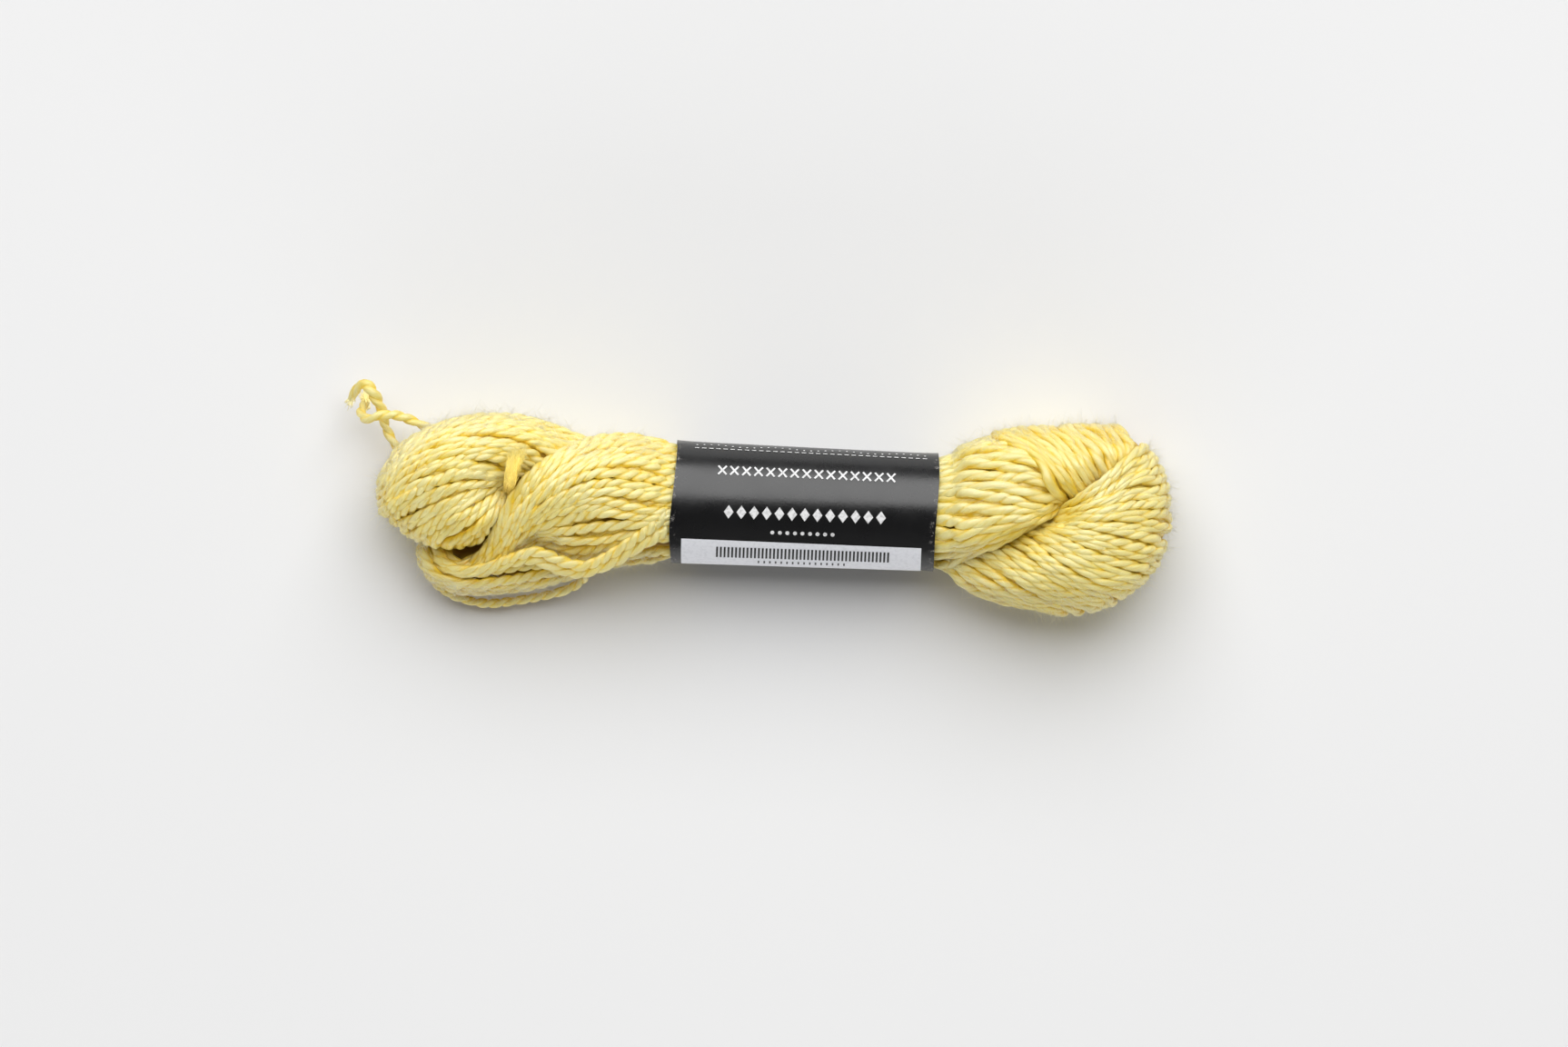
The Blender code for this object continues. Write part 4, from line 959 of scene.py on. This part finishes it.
# --- pieces ---
def make_threads(silk):
    """The hank's threads, as pieces; also a list of them all, and one of the small loop's loose ones."""
    pieces = []
    every_thread = []
    loose_threads = []
    for name, band_names in PIECES.items():
        tubes = Tubes()
        hidden = {"corners": LOW_CORNERS, "step": LOW_STEP}
        for band_name in band_names:
            band = BANDS[band_name]
            rng = draws(list(BANDS).index(band_name))
            threads = lay_threads(band, rng)
            for thread in threads:
                add_twisted(tubes, thread, rng, **(hidden if name == "threads_under" else {}))
            every_thread += threads
            if band_name in ("lower_loop", "loose_waves"):
                loose_threads += threads
            # Below the outer threads lies a layer darkened with painted shade gold.
            for thread in lay_threads(band, rng, layer=1) if band.lined else ():
                add_twisted(tubes, shortened(thread, *band.lined), rng, below=LAYER_SHADE_GOLD, **hidden)
        if name == "threads_left_end":
            slipped = single_thread(resample(SLIPPED_THREAD, STATIONS), THREAD_R, SLIPPED_FACES,
                                    PLY_PITCH[0], 1.0)
            add_twisted(tubes, slipped, draws(SLIPPED_DRAWS))
            every_thread.append(slipped)
            loose_threads.append(slipped)
        pieces.append(tubes.build(name, silk))
    return pieces, every_thread, loose_threads


def make_core():
    """What lies below the threads that are laid one by one: fused ellipsoids and the two waists."""
    bm = bmesh.new()
    for middle, half_sizes in CORES:
        for vert in bmesh.ops.create_icosphere(bm, subdivisions=4, radius=1.0)["verts"]:
            vert.co = Vector([m + h * c for m, h, c in zip(middle, half_sizes, vert.co)]) * MM
    waist = resample([(x, y, LABEL_CENTRE[2]) for x, y in WAIST], WAIST_STATIONS)
    turns = 2 * np.pi * np.arange(WAIST_SIDES) / WAIST_SIDES
    wide, high = WAIST_HALF_WIDTH * np.cos(turns), WAIST_HALF_HEIGHT * np.sin(turns)
    section = np.stack([0 * turns, wide, high], axis=1)
    rings = [[bm.verts.new(Vector(middle + spoke) * MM) for spoke in section] for middle in waist]
    for ring, following in zip(rings, rings[1:]):
        for i in range(WAIST_SIDES):
            j = (i + 1) % WAIST_SIDES
            bm.faces.new((ring[i], ring[j], following[j], following[i]))
    bm.faces.new(rings[0][::-1])
    bm.faces.new(rings[-1])
    mesh = bpy.data.meshes.new("hank_below")
    bm.to_mesh(mesh)
    bm.free()
    core = place_piece("hank_below", mesh, core_shade_material())
    fuse = core.modifiers.new("fuse", "REMESH")
    fuse.mode = "VOXEL"
    fuse.voxel_size = 0.7 * MM
    smooth = core.modifiers.new("smooth", "SMOOTH")
    smooth.iterations = 4
    fused = bpy.data.meshes.new_from_object(core.evaluated_get(bpy.context.evaluated_depsgraph_get()))
    core.modifiers.clear()
    core.data = fused
    fused.shade_smooth()
    return core


def make_fuzz(threads, worn, rng):
    """Stray fibres that stand off the threads, most on the skein's sides and on the worn threads."""
    tubes = Tubes()
    count = FUZZ_COUNT
    while count:
        among = worn if rng.random() < WORN_SHARE else threads
        thread = among[rng.integers(len(among))]
        i = rng.integers(3, len(thread.line) - 4)
        root = thread.line[i]
        away = thread.outward[i]
        if abs(root[0] - LABEL_CENTRE[0]) < LABEL_LENGTH / 2 + 2.0:
            continue
        if rng.random() > (FUZZ_ON_TOP if away[2] > 0.65 else 1.0) or away[2] < -0.4:
            continue
        if in_creases(root[None])[0] > 0.25:
            continue
        flow = unit(thread.line[i + 1] - root)
        out = away + 0.7 * rng.standard_normal(3)
        out = unit(out - (out @ flow) * flow)
        reach = rng.uniform(*FUZZ_REACH) * (1.0 if away[2] > 0.6 else 1.3)
        t = np.linspace(0.0, 1.0, 4)[:, None]
        line = (root + out * 0.8 * thread.radius[i] + flow * rng.choice((-0.9, 0.9)) * reach * t
                + out * reach * rng.uniform(0.35, 0.85) * t ** 1.4
                + unit(rng.standard_normal(3)) * 0.5 * reach * t ** 2)
        line[:, 2] = np.maximum(line[:, 2], 0.05)
        add_fibre(tubes, line, rng.uniform(*FUZZ_THICKNESS))
        count -= 1
    return tubes.build("stray_fibres", silk_material("silk_fuzz_painted_light"))


def make_cut_end(rng):
    """The frayed cut end that stands out of the eye of the tucked lobe."""
    tubes = Tubes()
    count = 14
    spine = resample(CUT_END_ROUTE, count)
    side, lift = frames_along(spine)
    share = np.linspace(0.0, 1.0, count)
    radii = np.interp(share, np.linspace(0.0, 1.0, len(CUT_END_RADII)), CUT_END_RADII)
    for _ in range(CUT_END_WISPS):
        angle, out = rng.uniform(0, 2 * np.pi), 0.85 * np.sqrt(rng.random())
        turn = angle + rng.uniform(-1.3, -0.3) * share
        aside = 1.1 * out * radii * np.cos(turn) + 0.3 * share * wave(rng, count, 1.5)
        above = 0.6 * out * radii * np.sin(turn)
        wisp = spine + aside[:, None] * side + above[:, None] * lift
        stop = rng.integers(8, count + 1)
        # Painted shade: deeper gold at the base, where the tuft leaves the eye, and a random gold for each
        # wisp.
        gold = rng.choice((0.0, 0.15, 0.4, 0.7)) + 0.9 * (1.0 - share) ** 2
        for _ in range(WISP_FIBRES):
            line = wisp + 0.18 * rng.standard_normal(3) * (0.6 + share[:, None] ** 2)
            last = np.clip(stop + rng.integers(-3, 3), 6, count)
            add_fibre(tubes, line[:last], rng.uniform(0.07, 0.13), taper=0.4, sides=4, gold=gold[:last])
    return tubes.build("cut_end_fibres", silk_material("silk_cut"))


def frayed(tubes, tip, heading, rng, count, reach, width):
    """Loose fibres that run on from the cut end of a thread, past `tip`, along `heading`."""
    heading = unit(np.array(heading, dtype=float))
    for _ in range(count):
        out = unit(rng.standard_normal(3))
        out = unit(out - (out @ heading) * heading)
        t = np.linspace(0.0, 1.0, 6)[:, None]
        start = tip - heading * rng.uniform(0.2, 1.0) + out * width * np.sqrt(rng.random())
        line = start + heading * rng.uniform(*reach) * t + out * rng.uniform(-0.1, 0.4) * t ** 2
        add_fibre(tubes, line, rng.uniform(0.10, 0.22), taper=0.4, sides=4)


def make_tie(rng, silk):
    """The tie: one two-ply thread with both ends cut and frayed, and the fibres at its ends."""
    line = resample(TIE_ROUTE, 160)
    radius = np.interp(np.linspace(0.0, 1.0, len(line)), *TIE_RADII)
    tubes = Tubes()
    add_twisted(tubes, single_thread(line, radius, (0.0, 0.0, 1.0), TIE_PITCH, TIE_CREASE), rng)
    tie = tubes.build("tie_two_ply", silk)
    tubes = Tubes()
    frayed(tubes, line[0], line[0] - line[5], rng, 45, (0.7, 1.8), 0.35)
    frayed(tubes, line[-1], (-0.15, 1.0, 0.25), rng, 70, (1.0, 2.2), 0.45)
    return tie, tubes.build("tie_frayed_ends", silk_material("silk_frayed")), line


# --- stage ---
def make_floor():
    mesh = bpy.data.meshes.new("floor")
    corners = [(x * FLOOR_HALF, y * FLOOR_HALF, 0.0) for x, y in ((-1, -1), (1, -1), (1, 1), (-1, 1))]
    mesh.from_pydata(corners, [], [(0, 1, 2, 3)])
    material, tree, shader = new_material("pale_floor")
    fill(tree, shader, Base_Color=FLOOR_COLOUR, Roughness=0.8, Specular_IOR_Level=0.2)
    return place_piece("floor", mesh, material)


def make_room():
    """The room's light: brighter low down than overhead, where the camera stands."""
    world = bpy.data.worlds.new("room")
    world.use_nodes = True
    tree = world.node_tree
    heights = node(tree, "SeparateXYZ", Vector=node(tree, "TexCoord").outputs["Generated"])
    fill(tree, tree.nodes["Background"], Color=(1.0, 1.0, 1.0, 1.0),
         Strength=spread(tree, heights.outputs["Z"], SKY_LOW, SKY_OVERHEAD))
    return world


def light_and_camera():
    scene = bpy.context.scene
    scene.view_settings.view_transform = "Standard"
    scene.world = make_room()
    for lamp in LAMPS:
        light = bpy.data.lights.new(lamp.name, "AREA")
        light.shape = "RECTANGLE"
        light.size, light.size_y = lamp.size
        light.energy = lamp.watts
        hung = place_object(lamp.name, light)
        hung.location = lamp.place
        hung.rotation_euler = (-lamp.place).to_track_quat("-Z", "Y").to_euler()
        hung.visible_glossy = lamp.shows_in_gloss

    lens = bpy.data.cameras.new("camera")
    lens.sensor_width = SENSOR_WIDTH
    lens.lens = SENSOR_WIDTH * CAMERA_DISTANCE / PICTURE_WIDTH
    lens.clip_end = 10.0
    camera = place_object("camera", lens)
    camera.location = CAMERA_AIM + Vector((0.0, 0.0, CAMERA_DISTANCE))
    scene.camera = camera


def main():
    light_and_camera()
    floor = make_floor()

    silk = silk_material("silk", STREAK_HEIGHT)
    of_hank, every_thread, loose_threads = make_threads(silk)
    of_hank.append(make_core())
    of_hank.append(make_fuzz(every_thread, loose_threads, draws(FUZZ_DRAWS)))
    for piece in of_hank:
        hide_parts("hank")

    tie, tie_ends, tie_line = make_tie(draws(TIE_DRAWS), silk)
    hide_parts("tie_thread")
    root = TIE_ROUTE[TIE_EXIT]
    [c * MM for c in root]
    float(arc_length(tie_line)[-1]) * MM

    cut_end = make_cut_end(draws(CUT_END_DRAWS))
    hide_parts("cut_end")

    label = make_label(draws(LABEL_DRAWS))
    printed = make_print()
    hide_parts("label_band")

    for piece in (*of_hank, tie, tie_ends, cut_end):
        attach(piece, "root")
    for piece in (label, *printed):
        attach(piece, "root")


main()
